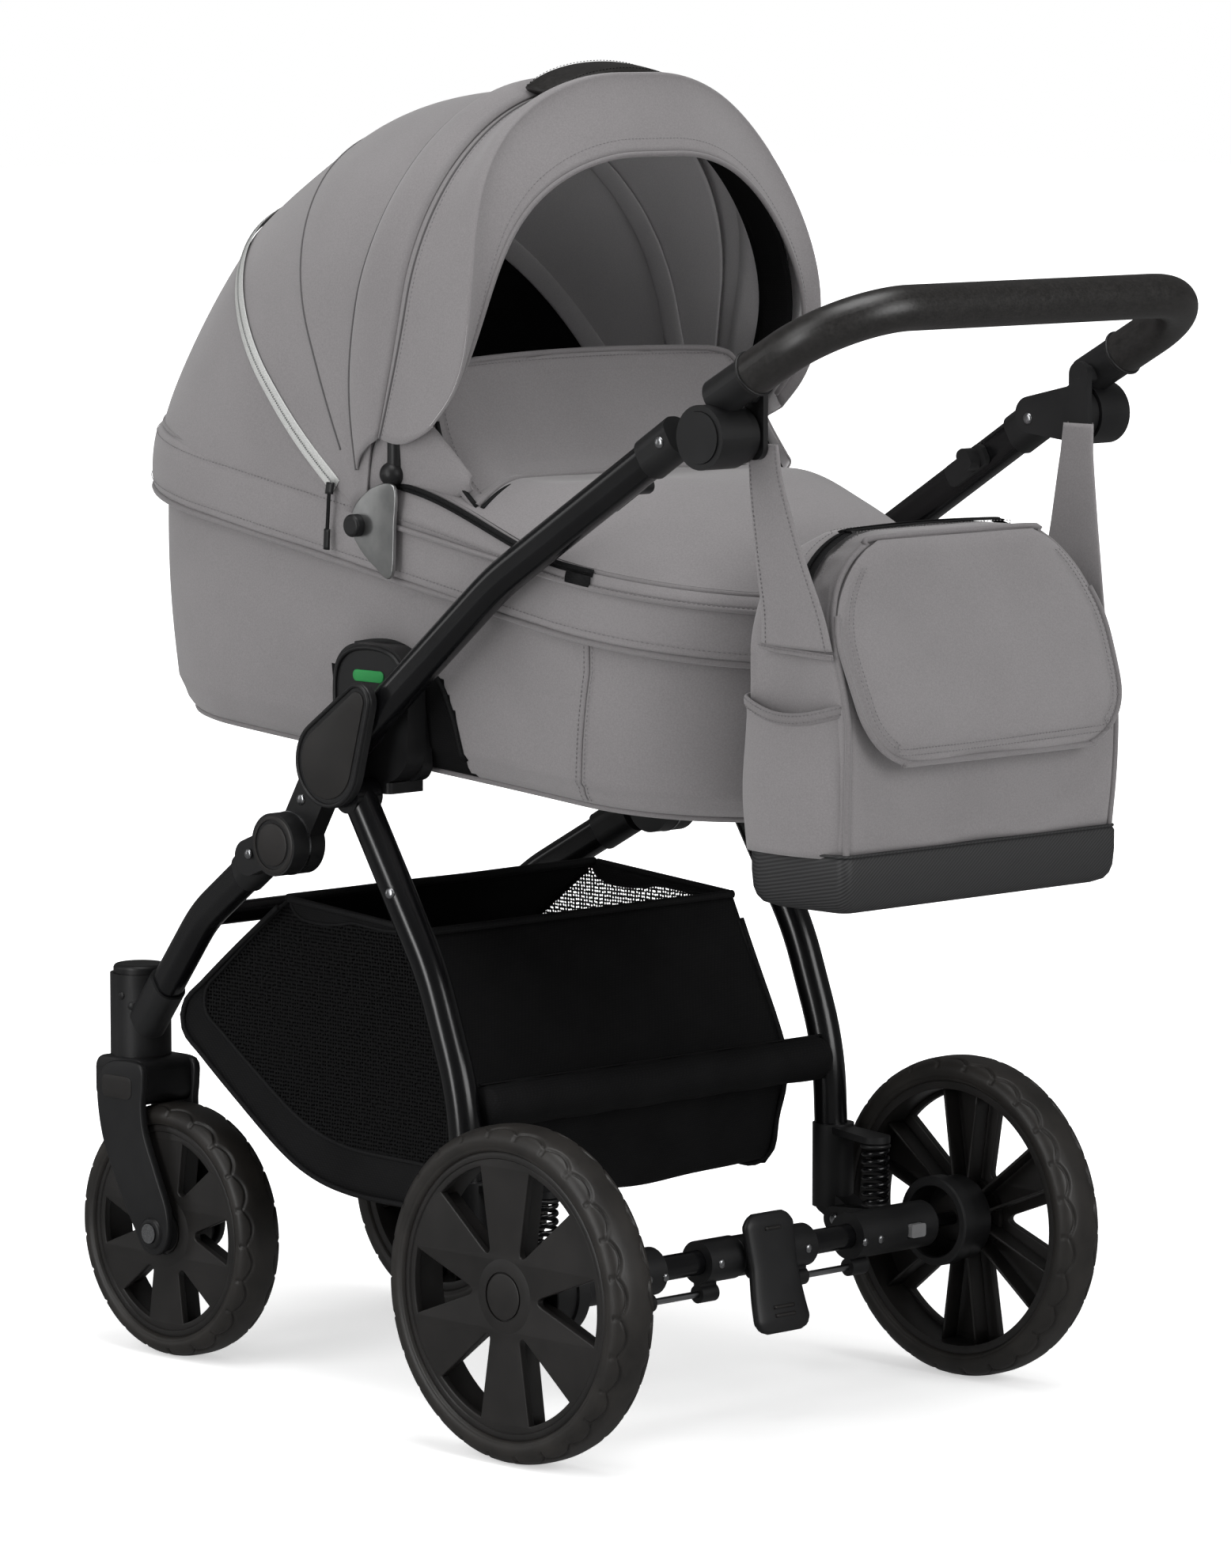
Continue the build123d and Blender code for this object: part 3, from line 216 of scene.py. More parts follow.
def tyre_rubber():
    made, tree, skin, place = material("foam_tyre_rubber", 0.46, ior=1.52, Specular_IOR_Level=0.5)
    pores = noise(tree, place, 900.0, 4.0)
    dust = noise(tree, place, 30.0, 5.0)
    paint(tree, skin, dust, (0.3, "#1f1d1b"), (0.75, "#2c2926"))
    rough_bump(tree, skin, pores, 0.12, 0.6)
    return made


steel = drawn_steel()
casting = satin_casting()
rubber = tyre_rubber()
print("metals and rubber ready")

# %% [markdown]
# ## Soft finishes
# The main cloth is a grey softshell: a knitted face bonded to foam, so it drapes in broad smooth curves and
# shows a heathered colour with a fine knit. Real loops are 0.5 mm across, which is too fine to show, so they
# are drawn at 1.4 mm. A little sheen lifts the edges, as fuzzy cloth does.

# %% Softshell cloth and its lining
def softshell(name, dark, light, knit_mm=1.4):
    made, tree, skin, place = material(name, 0.86, ior=1.45, Sheen_Weight=0.22, Sheen_Roughness=0.5)
    heather = noise(tree, place, 1000 / knit_mm, 3.0)
    cloud = noise(tree, place, 9.0, 3.0)
    both = add(tree, "ShaderNodeMix", {0: 0.35, 2: heather, 3: cloud}, data_type="FLOAT").outputs[0]
    paint(tree, skin, both, (0.36, dark), (0.64, light))
    loops = add(tree, "ShaderNodeTexVoronoi", {"Vector": place, "Scale": 1000 / knit_mm}).outputs["Distance"]
    rough_bump(tree, skin, loops, 0.12, 0.35)
    return made


cloth = softshell("softshell_grey", "#767374", "#817e7f")
cloth_trim = softshell("softshell_grey_binding", "#6c696a", "#777475")
# The seam cloth is painted shade: it is far darker than the cloth, so that the cords along the hood's seams
# draw each crease's shadow line.
seam_painted_shade = softshell("softshell_seam_painted_shade", "#4c4a4b", "#575556")
# The lining is grey cotton, drawn much paler than its own grey: painted light that brightens the shaded inside
# of the hood.
lining_painted_light = softshell("cotton_lining_painted_light", "#cbc9ca", "#d8d6d7", 1.1)
bedding = softshell("bedding_white", "#dddcd9", "#e8e7e4", 1.8)
print("cloths:", cloth.name, lining_painted_light.name)

# %% [markdown]
# The basket and the straps are black polyester, woven plain: threads run over and under at right angles. The
# bag's base is a coated twill with diagonal ribs. The weave is drawn with two crossed sets of waves and the
# twill with one; the real spacing of 0.6 mm is drawn at 2 mm and more, so that it shows.

# %% Woven black cloths
def plain_weave(name, dark, light, rough=0.8):
    made, tree, skin, place = material(name, rough, ior=1.48, Specular_IOR_Level=0.2)
    threads = {"Vector": place, "Scale": wave_scale(2.0)}
    warp = add(tree, "ShaderNodeTexWave", threads, bands_direction="Z").outputs["Fac"]
    weft = add(tree, "ShaderNodeTexWave", threads, bands_direction="DIAGONAL").outputs["Fac"]
    cross = add(tree, "ShaderNodeMath", {0: warp, 1: weft}, operation="MULTIPLY").outputs["Value"]
    patch = noise(tree, place, 18.0, 4.0)
    both = add(tree, "ShaderNodeMix", {0: 0.4, 2: patch, 3: cross}, data_type="FLOAT").outputs[0]
    paint(tree, skin, both, (0.2, dark), (0.7, light))
    rough_bump(tree, skin, cross, 0.15, 0.4)
    return made


def coated_twill():
    made, tree, skin, place = material("coated_twill_anthracite", 0.6, ior=1.5)
    turn = add(tree, "ShaderNodeMapping", {"Vector": place, "Rotation": (0.6, 0.75, 0.6)}).outputs["Vector"]
    waves = {"Vector": turn, "Scale": wave_scale(2.6), "Distortion": 0.6, "Detail": 2.0}
    ribs = add(tree, "ShaderNodeTexWave", waves).outputs["Fac"]
    paint(tree, skin, ribs, (0.2, "#212122"), (0.8, "#343435"))
    rough_bump(tree, skin, ribs, 0.25, 0.5)
    return made


black_weave = plain_weave("polyester_weave_black", "#0b0b0c", "#161617")
black_binding = plain_weave("binding_black", "#101011", "#1b1b1c", 0.7)
twill = coated_twill()
print("woven cloths:", black_weave.name, twill.name)

# %% [markdown]
# The handle is wrapped in leatherette: PVC embossed with a pebble grain of about 2 mm. Voronoi cells give the
# pebbles, and their dark valleys stay rougher than their worn crowns.

# %% Leatherette
def leatherette():
    made, tree, skin, place = material("leatherette_black", 0.36, ior=1.5, Specular_IOR_Level=0.62)
    cells = add(tree, "ShaderNodeTexVoronoi", {"Vector": place, "Scale": 1000 / 2.2}, feature="SMOOTH_F1")
    pebble = cells.outputs["Distance"]
    fold = noise(tree, place, 130.0, 5.0)
    skin_height = add(tree, "ShaderNodeMix", {0: 0.5, 2: pebble, 3: fold}, data_type="FLOAT").outputs[0]
    paint(tree, skin, skin_height, (0.25, "#1b1a19"), (0.7, "#282625"))
    worn = add(tree, "ShaderNodeMapRange",
               {"Value": skin_height, "To Min": 0.28, "To Max": 0.48}).outputs["Result"]
    tree.links.new(worn, skin.inputs["Roughness"])
    rough_bump(tree, skin, skin_height, 0.3, 0.35)
    return made


leather = leatherette()
print("leatherette ready")

# %% [markdown]
# Each CAD node that stays in view takes one of these finishes. The soft CAD solids are left for later cells,
# which replace them.

# %% Dress the CAD nodes
finishes = {
    coat: ["main_tubes", "front_tubes", "front_cross_tube", "rear_legs", "axle_tube", "handle_tube",
           "springs"],
    nylon: ["upper_knuckles", "lower_knuckles", "hub_covers", "receivers", "pivot_collars",
            "fold_trigger_left", "fold_trigger_right", "fork_sockets", "swivel_caps", "fork_left",
            "fork_right", "leg_sockets", "axle_housings", "pedal_collars", "brake_pedal", "handle_ends",
            "pivot_button_left", "pivot_button_right", "bag_clips", "cot_adapters", "hood_knobs"],
    rim_nylon: ["front_rim_left", "front_rim_right", "rear_rim_left", "rear_rim_right"],
    steel: ["front_axle_left", "front_axle_right", "brake_rod_left", "brake_rod_right"],
    rubber: ["front_tyre_left", "front_tyre_right", "rear_tyre_left", "rear_tyre_right"],
    leather: ["handle_grip", "carry_handle"],
    cloth: ["cot_shell", "rim_band", "apron", "hood_back", "hood_middle", "hood_front", "bag_body",
            "bag_flap", "bag_straps"],
    black_weave: ["basket", "roll_bar"],
    twill: ["bag_base"],
    bedding: ["mattress"],
    button_grey: ["release_button_left", "release_button_right"],
    casting: ["hood_plates"],
}
for finish, names in finishes.items():
    for name in names:
        mesh = frame["nodes"][name].data
        mesh.materials.clear()
        mesh.materials.append(finish)
print("dressed", sum(len(names) for names in finishes.values()), "CAD nodes")

# %% [markdown]
# ## Stage
# A white studio sweep: the floor is nearly white and still takes the shadow, and the world is plain soft
# light. Large lamps on the left, above and at the rear light the cloth. Two tall strips draw long highlights
# down the black tubes.

# %% Floor, world and lamps
WHITE, FAR = linear("#ffffff"), 30.0


def studio_floor():
    made, tree, skin, place = material("studio_white", 0.9)
    skin.inputs["Base Color"].default_value = WHITE
    ray = add(tree, "ShaderNodeLightPath").outputs
    away = add(tree, "ShaderNodeVectorMath", {0: place}, operation="LENGTH").outputs["Value"]
    fade = {"Value": away, "From Min": 0.7, "From Max": 2.2, "To Min": 0.5, "To Max": 1.2}
    level = add(tree, "ShaderNodeMapRange", fade)
    glow = add(tree, "ShaderNodeEmission", {"Color": WHITE, "Strength": level.outputs["Result"]})
    bright = add(tree, "ShaderNodeAddShader", {0: skin.outputs[0], 1: glow.outputs[0]})
    shade = add(tree, "ShaderNodeEmission", {"Color": WHITE, "Strength": 0.16})
    lit = add(tree, "ShaderNodeMixShader", {0: ray["Is Glossy Ray"], 1: skin.outputs[0], 2: shade.outputs[0]})
    mixed = add(tree, "ShaderNodeMixShader",
                {0: ray["Is Camera Ray"], 1: lit.outputs[0], 2: bright.outputs[0]})
    tree.links.new(mixed.outputs[0], tree.nodes["Material Output"].inputs["Surface"])
    return made


floor_mesh = bpy.data.meshes.new("studio_floor")
floor_mesh.from_pydata([(-FAR, -FAR, 0), (FAR, -FAR, 0), (FAR, FAR, 0), (-FAR, FAR, 0)], [], [(0, 1, 2, 3)])
floor_mesh.materials.append(studio_floor())
floor = shown("studio_floor", floor_mesh)

world = bpy.data.worlds.new("studio")
bpy.context.scene.world = world
world.use_nodes = True
sky = world.node_tree
sky.nodes.clear()
sky_ray = add(sky, "ShaderNodeLightPath").outputs
sky_soft = add(sky, "ShaderNodeBackground", {"Color": WHITE, "Strength": 0.42})
sky_dim = add(sky, "ShaderNodeBackground", {"Color": WHITE, "Strength": 0.09})
sky_seen = add(sky, "ShaderNodeBackground", {"Color": WHITE, "Strength": 1.0})
sky_lit = add(sky, "ShaderNodeMixShader",
              {0: sky_ray["Is Glossy Ray"], 1: sky_soft.outputs[0], 2: sky_dim.outputs[0]})
sky_mix = add(sky, "ShaderNodeMixShader",
              {0: sky_ray["Is Camera Ray"], 1: sky_lit.outputs[0], 2: sky_seen.outputs[0]})
add(sky, "ShaderNodeOutputWorld", {"Surface": sky_mix.outputs[0]})


def lamp(name, place, aim, size, watts):
    data = bpy.data.lights.new(name, "AREA")
    data.shape = "RECTANGLE"
    data.size, data.size_y = size
    data.energy = watts
    made = shown(name, data)
    made.location = place
    made.rotation_euler = (Vector(aim) - Vector(place)).to_track_quat("-Z", "Y").to_euler()


lamp("key_left", (3.2, -0.6, 2.6), (0, 0, 0.6), (1.6, 2.4), 28)
lamp("top_wide", (0.4, 0.6, 3.6), (0, 0, 0.5), (2.0, 2.0), 52)
lamp("fill_rear", (-0.4, 3.8, 1.8), (0, 0, 0.5), (2.0, 2.0), 53)
lamp("strip_left", (3.9, 0.2, 1.0), (0, 0, 0.5), (0.9, 2.2), 35)
lamp("strip_front", (2.4, -3.2, 1.1), (0, 0, 0.6), (0.6, 1.8), 6)
print("stage ready")

# %% [markdown]
# The camera stands where the photographer stood. Pairs of left and right points in the photograph fixed it:
# 6.4 m away and a little above the handle, so the lens is long and the lines hardly converge.

# %% Camera
SENSOR_MM, FOCAL_PIXELS, TALL_PIXELS = 36.0, 9133.75, 1982
LOOK_DOWN, HEADING = 6.5, 135.734
eye = bpy.data.cameras.new("photographer")
eye.sensor_width = SENSOR_MM
eye.lens = SENSOR_MM * FOCAL_PIXELS / TALL_PIXELS
camera = shown("photographer", eye)
camera.location = (4.43468, 4.54876, 1.26810)
camera.rotation_euler = (math.radians(90 - LOOK_DOWN), 0, math.radians(HEADING))
bpy.context.scene.camera = camera
bpy.context.scene.view_settings.view_transform = "Standard"
print("camera lens", round(eye.lens, 1), "mm")

# %% [markdown]
# ## Tools for sewing
# Soft parts are easiest to draw as rows of points, as a pattern cutter lays out a panel: each row is one line
# across the cloth, and the rows are joined to a sheet. A smooth line through a few chosen points gives seams,
# piping and straps, and a round or flat section carried along such a line gives cords, tubes and webbing.

# %% Lines, sheets and tubes
def unit(ways):
    """The same directions, each of length one."""
    return ways / np.linalg.norm(ways, axis=-1)[..., None]


def smooth_line(points, count, closed=False):
    """Evenly spaced samples of a smooth line through the points."""
    p = np.asarray(points, float)
    if closed:
        p = np.vstack([p[-1], p, p[0], p[1]])
    else:
        p = np.vstack([2 * p[0] - p[1], p, 2 * p[-1] - p[-2]])
    fine = []
    for a, b, c, d in zip(p[:-3], p[1:-2], p[2:-1], p[3:]):
        t = np.linspace(0, 1, 40, endpoint=False)[:, None]
        bend, twist = 2 * a - 5 * b + 4 * c - d, 3 * b - a - 3 * c + d
        fine.append(0.5 * (2 * b + (c - a) * t + bend * t ** 2 + twist * t ** 3))
    fine.append(p[-2][None])
    fine = np.vstack(fine)
    walked = np.concatenate([[0], np.cumsum(np.linalg.norm(np.diff(fine, axis=0), axis=1))])
    stops = np.linspace(0, walked[-1], count, endpoint=not closed)
    return np.stack([np.interp(stops, walked, fine[:, i]) for i in range(fine.shape[1])], axis=1)


def make(name, verts, faces, *finishes):
    """A smooth-shaded mesh object at the origin."""
    mesh = bpy.data.meshes.new(name)
    mesh.from_pydata([tuple(v) for v in verts], [], faces)
    for finish in finishes:
        mesh.materials.append(finish)
    mesh.shade_smooth()
    made = shown(name, mesh)
    return made


def sheet(name, rows, *finishes, ring=False, loop=False, caps=False):
    """Quads over rows: ring closes each row, loop joins the last row to the first, caps fills both ends."""
    rows = np.asarray(rows, float)
    n, m = rows.shape[:2]
    faces = []
    for i in range(n if loop else n - 1):
        for j in range(m if ring else m - 1):
            k, q = (i + 1) % n, (j + 1) % m
            faces.append((i * m + j, i * m + q, k * m + q, k * m + j))
    if caps:
        faces.append(tuple(range(m - 1, -1, -1)))
        faces.append(tuple(range((n - 1) * m, n * m)))
    return make(name, rows.reshape(-1, 3), faces, *finishes)


def outwards(obj):
    """Merges doubles and points all faces the same way, outwards."""
    bm = bmesh.new()
    bm.from_mesh(obj.data)
    bmesh.ops.remove_doubles(bm, verts=bm.verts, dist=1e-6)
    bmesh.ops.recalc_face_normals(bm, faces=bm.faces)
    bm.to_mesh(obj.data)
    bm.free()
    return obj


def face_along(obj, way):
    """Turns an open sheet over if its faces look against a direction."""
    if sum(p.normal.dot(Vector(way)) for p in obj.data.polygons) < 0:
        obj.data.flip_normals()
    return obj


def settle(obj):
    """Turns an object's modifiers into plain mesh."""
    seen = obj.evaluated_get(bpy.context.evaluated_depsgraph_get())
    made = bpy.data.meshes.new_from_object(seen)
    obj.modifiers.clear()
    obj.data = made
    obj.data.shade_smooth()
    return obj


def thicken(obj, mm, inner=0):
    """Gives a sheet its thickness, inwards from its face; inner is a step to the slot for the inside."""
    wall = obj.modifiers.new("wall", "SOLIDIFY")
    wall.thickness = mm * MM
    wall.offset = -1
    wall.material_offset = inner
    return settle(obj)


def carry(name, line, section, finish, up=(0, 0, 1), closed=False):
    """Carries a section (points across, in metres) along a line; up keeps it from twisting."""
    line = np.asarray(line, float)
    ahead = np.gradient(line, axis=0)
    if closed:
        ahead = np.roll(line, -1, axis=0) - np.roll(line, 1, axis=0)
    ahead = unit(ahead)
    up = np.broadcast_to(np.asarray(up, float), line.shape)
    side = np.cross(ahead, up)
    side = unit(side)
    top = np.cross(side, ahead)
    section = np.asarray(section, float)
    rows = line[:, None] + section[None, :, :1] * side[:, None] + section[None, :, 1:] * top[:, None]
    return outwards(sheet(name, rows, finish, ring=True, loop=closed, caps=not closed))


def whole_turn(count):
    """Angles evenly round a circle."""
    return np.linspace(0, 2 * math.pi, count, endpoint=False)


def round_section(r_mm, count=10):
    a = whole_turn(count)
    return np.stack([np.cos(a), np.sin(a)], axis=1) * r_mm * MM


def cord(name, line, r_mm, finish, **how):
    """A thin round cord along a line, such as piping or wire."""
    return carry(name, line, round_section(r_mm, 8), finish, **how)


def flat_section(width_mm, height_mm, corner=0.45, count=20):
    """A rounded strip, such as webbing or a zip tape."""
    a = whole_turn(count)
    power = 2 * corner
    x = np.sign(np.cos(a)) * np.abs(np.cos(a)) ** power * width_mm / 2
    y = np.sign(np.sin(a)) * np.abs(np.sin(a)) ** power * height_mm / 2
    return np.stack([x, y], axis=1) * MM


def ease(x):
    """Smooth step from 0 to 1."""
    x = np.clip(x, 0, 1)
    return x * x * (3 - 2 * x)


def join(name, *objs):
    """One object from several of the same body."""
    bm = bmesh.new()
    slots = []
    for obj in objs:
        start = len(bm.faces)
        places = []
        for finish in obj.data.materials:
            if finish not in slots:
                slots.append(finish)
            places.append(slots.index(finish))
        bm.from_mesh(obj.data)
        bm.faces.ensure_lookup_table()
        for face in bm.faces[start:]:
            face.material_index = places[min(face.material_index, len(places) - 1)]
    mesh = bpy.data.meshes.new(name)
    bm.to_mesh(mesh)
    bm.free()
    for finish in slots:
        mesh.materials.append(finish)
    mesh.shade_smooth()
    for obj in objs:
        bpy.data.objects.remove(obj)
    made = shown(name, mesh)
    return made


print("sewing tools ready")

# %% [markdown]
# Stitches, zip teeth and ribs all repeat along a line. One Geometry Nodes tree does them all: it resamples
# the line at a pitch, puts a small block on each point, turns it along the line, and makes the result real.

# %% Repeats along a line
def repeat_tree():
    tree = bpy.data.node_groups.new("blocks_along_a_line", "GeometryNodeTree")
    face = tree.interface
    face.new_socket("Line", in_out="INPUT", socket_type="NodeSocketGeometry")
    for name, start in (("Pitch", 0.003), ("Length", 0.002), ("Width", 0.0008), ("Height", 0.0005)):
        face.new_socket(name, in_out="INPUT", socket_type="NodeSocketFloat").default_value = start
    face.new_socket("Finish", in_out="INPUT", socket_type="NodeSocketMaterial")
    face.new_socket("Blocks", in_out="OUTPUT", socket_type="NodeSocketGeometry")
    given = add(tree, "NodeGroupInput").outputs
    curve = add(tree, "GeometryNodeMeshToCurve", {"Mesh": given["Line"]}).outputs["Curve"]
    points = add(tree, "GeometryNodeResampleCurve", {"Curve": curve, "Length": given["Pitch"]},
                 mode="LENGTH").outputs["Curve"]
    size = add(tree, "ShaderNodeCombineXYZ",
               {"X": given["Length"], "Y": given["Width"], "Z": given["Height"]}).outputs["Vector"]
    block = add(tree, "GeometryNodeMeshIcoSphere", {"Radius": 0.5, "Subdivisions": 1}).outputs["Mesh"]
    tangent = add(tree, "GeometryNodeInputTangent").outputs["Tangent"]
    turn = add(tree, "FunctionNodeAlignRotationToVector", {"Vector": tangent}, axis="X").outputs["Rotation"]
    placed = add(tree, "GeometryNodeInstanceOnPoints",
                 {"Points": points, "Instance": block, "Rotation": turn, "Scale": size})
    real = add(tree, "GeometryNodeRealizeInstances",
               {"Geometry": placed.outputs["Instances"]}).outputs["Geometry"]
    dressed = add(tree, "GeometryNodeSetMaterial",
                  {"Geometry": real, "Material": given["Finish"]}).outputs["Geometry"]
    add(tree, "NodeGroupOutput", {"Blocks": dressed})
    return tree


blocks_tree = repeat_tree()


def blocks(name, lines, pitch, length, width, height, finish):
    """Small rounded blocks along one or more lines of points, sizes in millimetres."""
    verts, edges = [], []
    for line in lines:
        start = len(verts)
        verts += [tuple(p) for p in line]
        edges += [(i, i + 1) for i in range(start, len(verts) - 1)]
    mesh = bpy.data.meshes.new(name)
    mesh.from_pydata(verts, edges, [])
    made = shown(name, mesh)
    row = made.modifiers.new("row", "NODES")
    row.node_group = blocks_tree
    sockets = {s.name: s.identifier for s in blocks_tree.interface.items_tree if s.in_out == "INPUT"}
    for key, value in (("Pitch", pitch), ("Length", length), ("Width", width), ("Height", height)):
        row[sockets[key]] = value * MM
    row[sockets["Finish"]] = finish
    return settle(made)


thread = plain_weave("sewing_thread_grey", "#6b696a", "#7d7b7c")
print("repeat tree:", blocks_tree.name)

# %% [markdown]
# ## Hood
# The hood turns about a hinge on each side of the carrycot. A line across it is an arch: straight up from the
# hinge, round the corner and over the top. Turning that arch about the hinge, and letting its height and
# corner change with the turn, gives one smooth canopy. It is cut into three panels in place of the three
# sections of the CAD hood: a back panel, a middle panel in front of a silver zip, and a front band whose edge
# rolls in to form the visor.

# %% Arches about the hinge
HINGE_Y, HINGE_Z = -0.100, 0.780
HINGE = np.array([0, HINGE_Y, HINGE_Z])


def arch(half, top, corner, low, count):
    """Half width, height, corner and lower end in mm; returns x and radius from left to right."""
    up = max(top - corner - low, 1.0)
    round_length = math.pi / 2 * corner
    flat = half - corner
    walked = np.linspace(0, up + round_length + flat, (count + 1) // 2)
    angle = np.clip((walked - up) / corner, 0, math.pi / 2)
    x = half - corner + corner * np.cos(angle) - np.clip(walked - up - round_length, 0, None)
    r = np.where(walked < up, low + walked, top - corner + corner * np.sin(angle))
    half_arch = np.stack([x, r], axis=1)
    other = half_arch[:-1][::-1] * (-1, 1)
    return np.vstack([half_arch, other]) * MM


def turned(arch_points, degrees):
    """Puts an arch at a turn about the hinge; the turn may change along it."""
    a = np.radians(degrees)
    x, r = arch_points[:, 0], arch_points[:, 1]
    return np.stack([x, HINGE_Y + r * np.cos(a), HINGE_Z + r * np.sin(a)], axis=1)


def between(value, stops, results):
    """A value between stops in rising order, averaged over 14 degrees so that no stop shows as a kink."""
    return float(np.mean(np.interp(value + np.linspace(-7, 7, 15), stops, results)))


def hood_top(turn):
    return between(turn, [99, 105, 118, 133, 150, 160, 169], [377, 377, 372, 376, 387, 396, 405])


def hood_corner(turn):
    return between(turn, [99, 105, 118, 133, 168], [184, 182, 197, 198, 194])


ARCH = 97
along_arch = np.abs(np.linspace(-1, 1, ARCH))          # 1 at the hinges, 0 at the crown
print("arch of", ARCH, "points")

# %% [markdown]
# The panels are stretched between bows, so each sags a few millimetres in its middle and has a faint ripple
# near the hinge, where the cloth gathers. The zip between them climbs steeply from the hinge and then runs
# straight over.

# %% Back and middle panels
def along_turn(crown, foot, power):
    """A turn that changes from the crown to the hinges; a high power keeps the change low down."""
    return crown + (foot - crown) * ease(along_arch * 1.05) ** power


zip_turn = along_turn(134.0, 141.3, 4)


def hood_lines(start, stop, half_start, half_stop, rows):
    """Arches of one panel, from its rear edge to its front edge."""
    lines = []
    for v in np.linspace(0, 1, rows):
        turn = start + (stop - start) * v
        crown = turn[ARCH // 2]
        sag = 5.0 * math.sin(math.pi * v)
        half = half_start + (half_stop - half_start) * v
        points = arch(half, hood_top(crown) - sag, min(hood_corner(crown), half - 4), 22, ARCH)
        gather = 0.25 * np.sin(9 * math.pi * v) * ease((along_arch - 0.62) / 0.3)
        gather = gather * ease((1 - along_arch) / 0.1)
        points[:, 0] += np.sign(points[:, 0]) * gather * MM
        lines.append(turned(points, turn))
    return lines


back_lines = hood_lines(np.full(ARCH, 169.0), zip_turn - 0.4, 204, 205.5, 30)
middle_lines = hood_lines(zip_turn + 0.4, np.full(ARCH, 83.0), 206, 209.5, 46)
back_panel = outwards(sheet("hood_back_panel", back_lines, cloth, black_weave))
# Inside, the middle panel shows the lining, whose pale colour is painted light.
middle_panel = outwards(sheet("hood_middle_panel", middle_lines, cloth, lining_painted_light))
for panel in (back_panel, middle_panel):
    probe = panel.data.polygons[len(panel.data.polygons) // 2]
    if probe.normal.dot(Vector(probe.center) - Vector(HINGE)) < 0:
        panel.data.flip_normals()
    thicken(panel, 2.2, inner=1)
print("hood panels:", len(back_panel.data.polygons), len(middle_panel.data.polygons), "faces")

# %% [markdown]
# The front band starts with a rounded tunnel that holds the bow. Past its seam the visor rises to its outer
# fold and rolls in by 56 mm at the crown, and by only 9 mm at the sides, to the edge of the opening.

# %% Front band with the visor
def tunnel_rows():
    lines = []
    for s in np.linspace(0, 1, 11):
        hump = math.sin(math.pi * s) ** 0.8
        shape = arch(211 + 2 * s + 3.5 * hump, 381 + 4 * s + 7 * hump, 190 - 14 * s, 48 + 30 * s, ARCH)
        lines.append(turned(shape, along_turn(86.5 - 8 * s, 100 - 25.5 * s, 4 - 3 * s)))
    return lines


def visor_rows():
    tucked = arch(210.4, 380.5, 174, 80, ARCH)         # the first line lies under the tunnel
    lines = [turned(tucked, along_turn(80.3, 77.5, 1))]
    for v in np.linspace(0.0, 1, 20):
        shape = arch(212.5 + 3.5 * v, 383 + 28 * ease(v), 176 + 20 * v, 80 + 18 * v ** 2 + 30 * v ** 6, ARCH)
        lines.append(turned(shape, along_turn(78.3 - 6.3 * v, 74 - 30.5 * v, 1 + 2 * v)))
    for w in np.linspace(0.08, 1, 14):
        roll = math.sin(w * math.pi / 2)
        shape = arch(216 - 9 * roll, 411 - 56 * w ** 1.3, 196 - 12 * roll, 128 + 10 * w, ARCH)
        lines.append(turned(shape, along_turn(72 - 7.3 * (1 - math.cos(w * math.pi / 2)), 43.5 + 3.5 * w, 3)))
    return lines


tunnel_lines = tunnel_rows()
visor_lines = visor_rows()
bow_tunnel = sheet("hood_bow_tunnel", tunnel_lines, cloth, lining_painted_light)
visor = sheet("hood_visor", visor_lines, cloth, lining_painted_light)
for band in (bow_tunnel, visor):
    outwards(band)
    probe = band.data.polygons[5 * (ARCH - 1) + ARCH // 2]
    if probe.normal.z < 0:
        band.data.flip_normals()
    thicken(band, 2.4, inner=1)
edge_cord = carry("visor_edge", visor_lines[-1], round_section(2.4), cloth_trim, up=(0.02, 1, 0))
# The tunnel's seam cords are dark: painted shade along the seams.
tunnel_cords = [carry("tunnel_seam", line, round_section(1.2, 6), seam_painted_shade, up=(0.02, 1, 0.3))
                for line in (tunnel_lines[0], visor_lines[2])]
front_stitches = blocks("visor_stitches", [visor_lines[3], visor_lines[-3]], 4.2, 3.0, 0.9, 0.7, thread)

facing = []
for turn_shift in np.linspace(0, 1, 6):
    shape = arch(204.5, 368 - 6 * turn_shift, 182, 112, ARCH)
    facing.append(turned(shape, along_turn(68 + 9 * turn_shift, 50 + 14 * turn_shift, 3)))
visor_facing = outwards(sheet("visor_facing", facing, black_weave, black_weave))
thicken(visor_facing, 1.2)
hood_front_piece = join("hood_front_cloth", bow_tunnel, visor, edge_cord, *tunnel_cords, front_stitches,
                        visor_facing)
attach(hood_front_piece, "hood_front")
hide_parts("hood_front")
print("front band:", len(hood_front_piece.data.polygons), "faces")

# %% [markdown]
# A silver reflective zip runs from hinge to hinge where the back panel meets the middle one. Its tape is a
# strip along the arch, its teeth are the repeat tree, and a flat black tab hangs from its slider. One seam
# crosses the middle panel, and two tapes inside cover the bows.

# %% Silver zip, seam and bow tapes
def reflective_tape():
    made, tree, skin, place = material("reflective_zip_tape", 0.4, metallic=0.3)
    beads = add(tree, "ShaderNodeTexVoronoi", {"Vector": place, "Scale": 1000.0}).outputs["Distance"]
    paint(tree, skin, beads, (0.1, "#b4b5b3"), (0.7, "#d0d1cf"))
    rough_bump(tree, skin, beads, 0.06, 0.4)
    return made


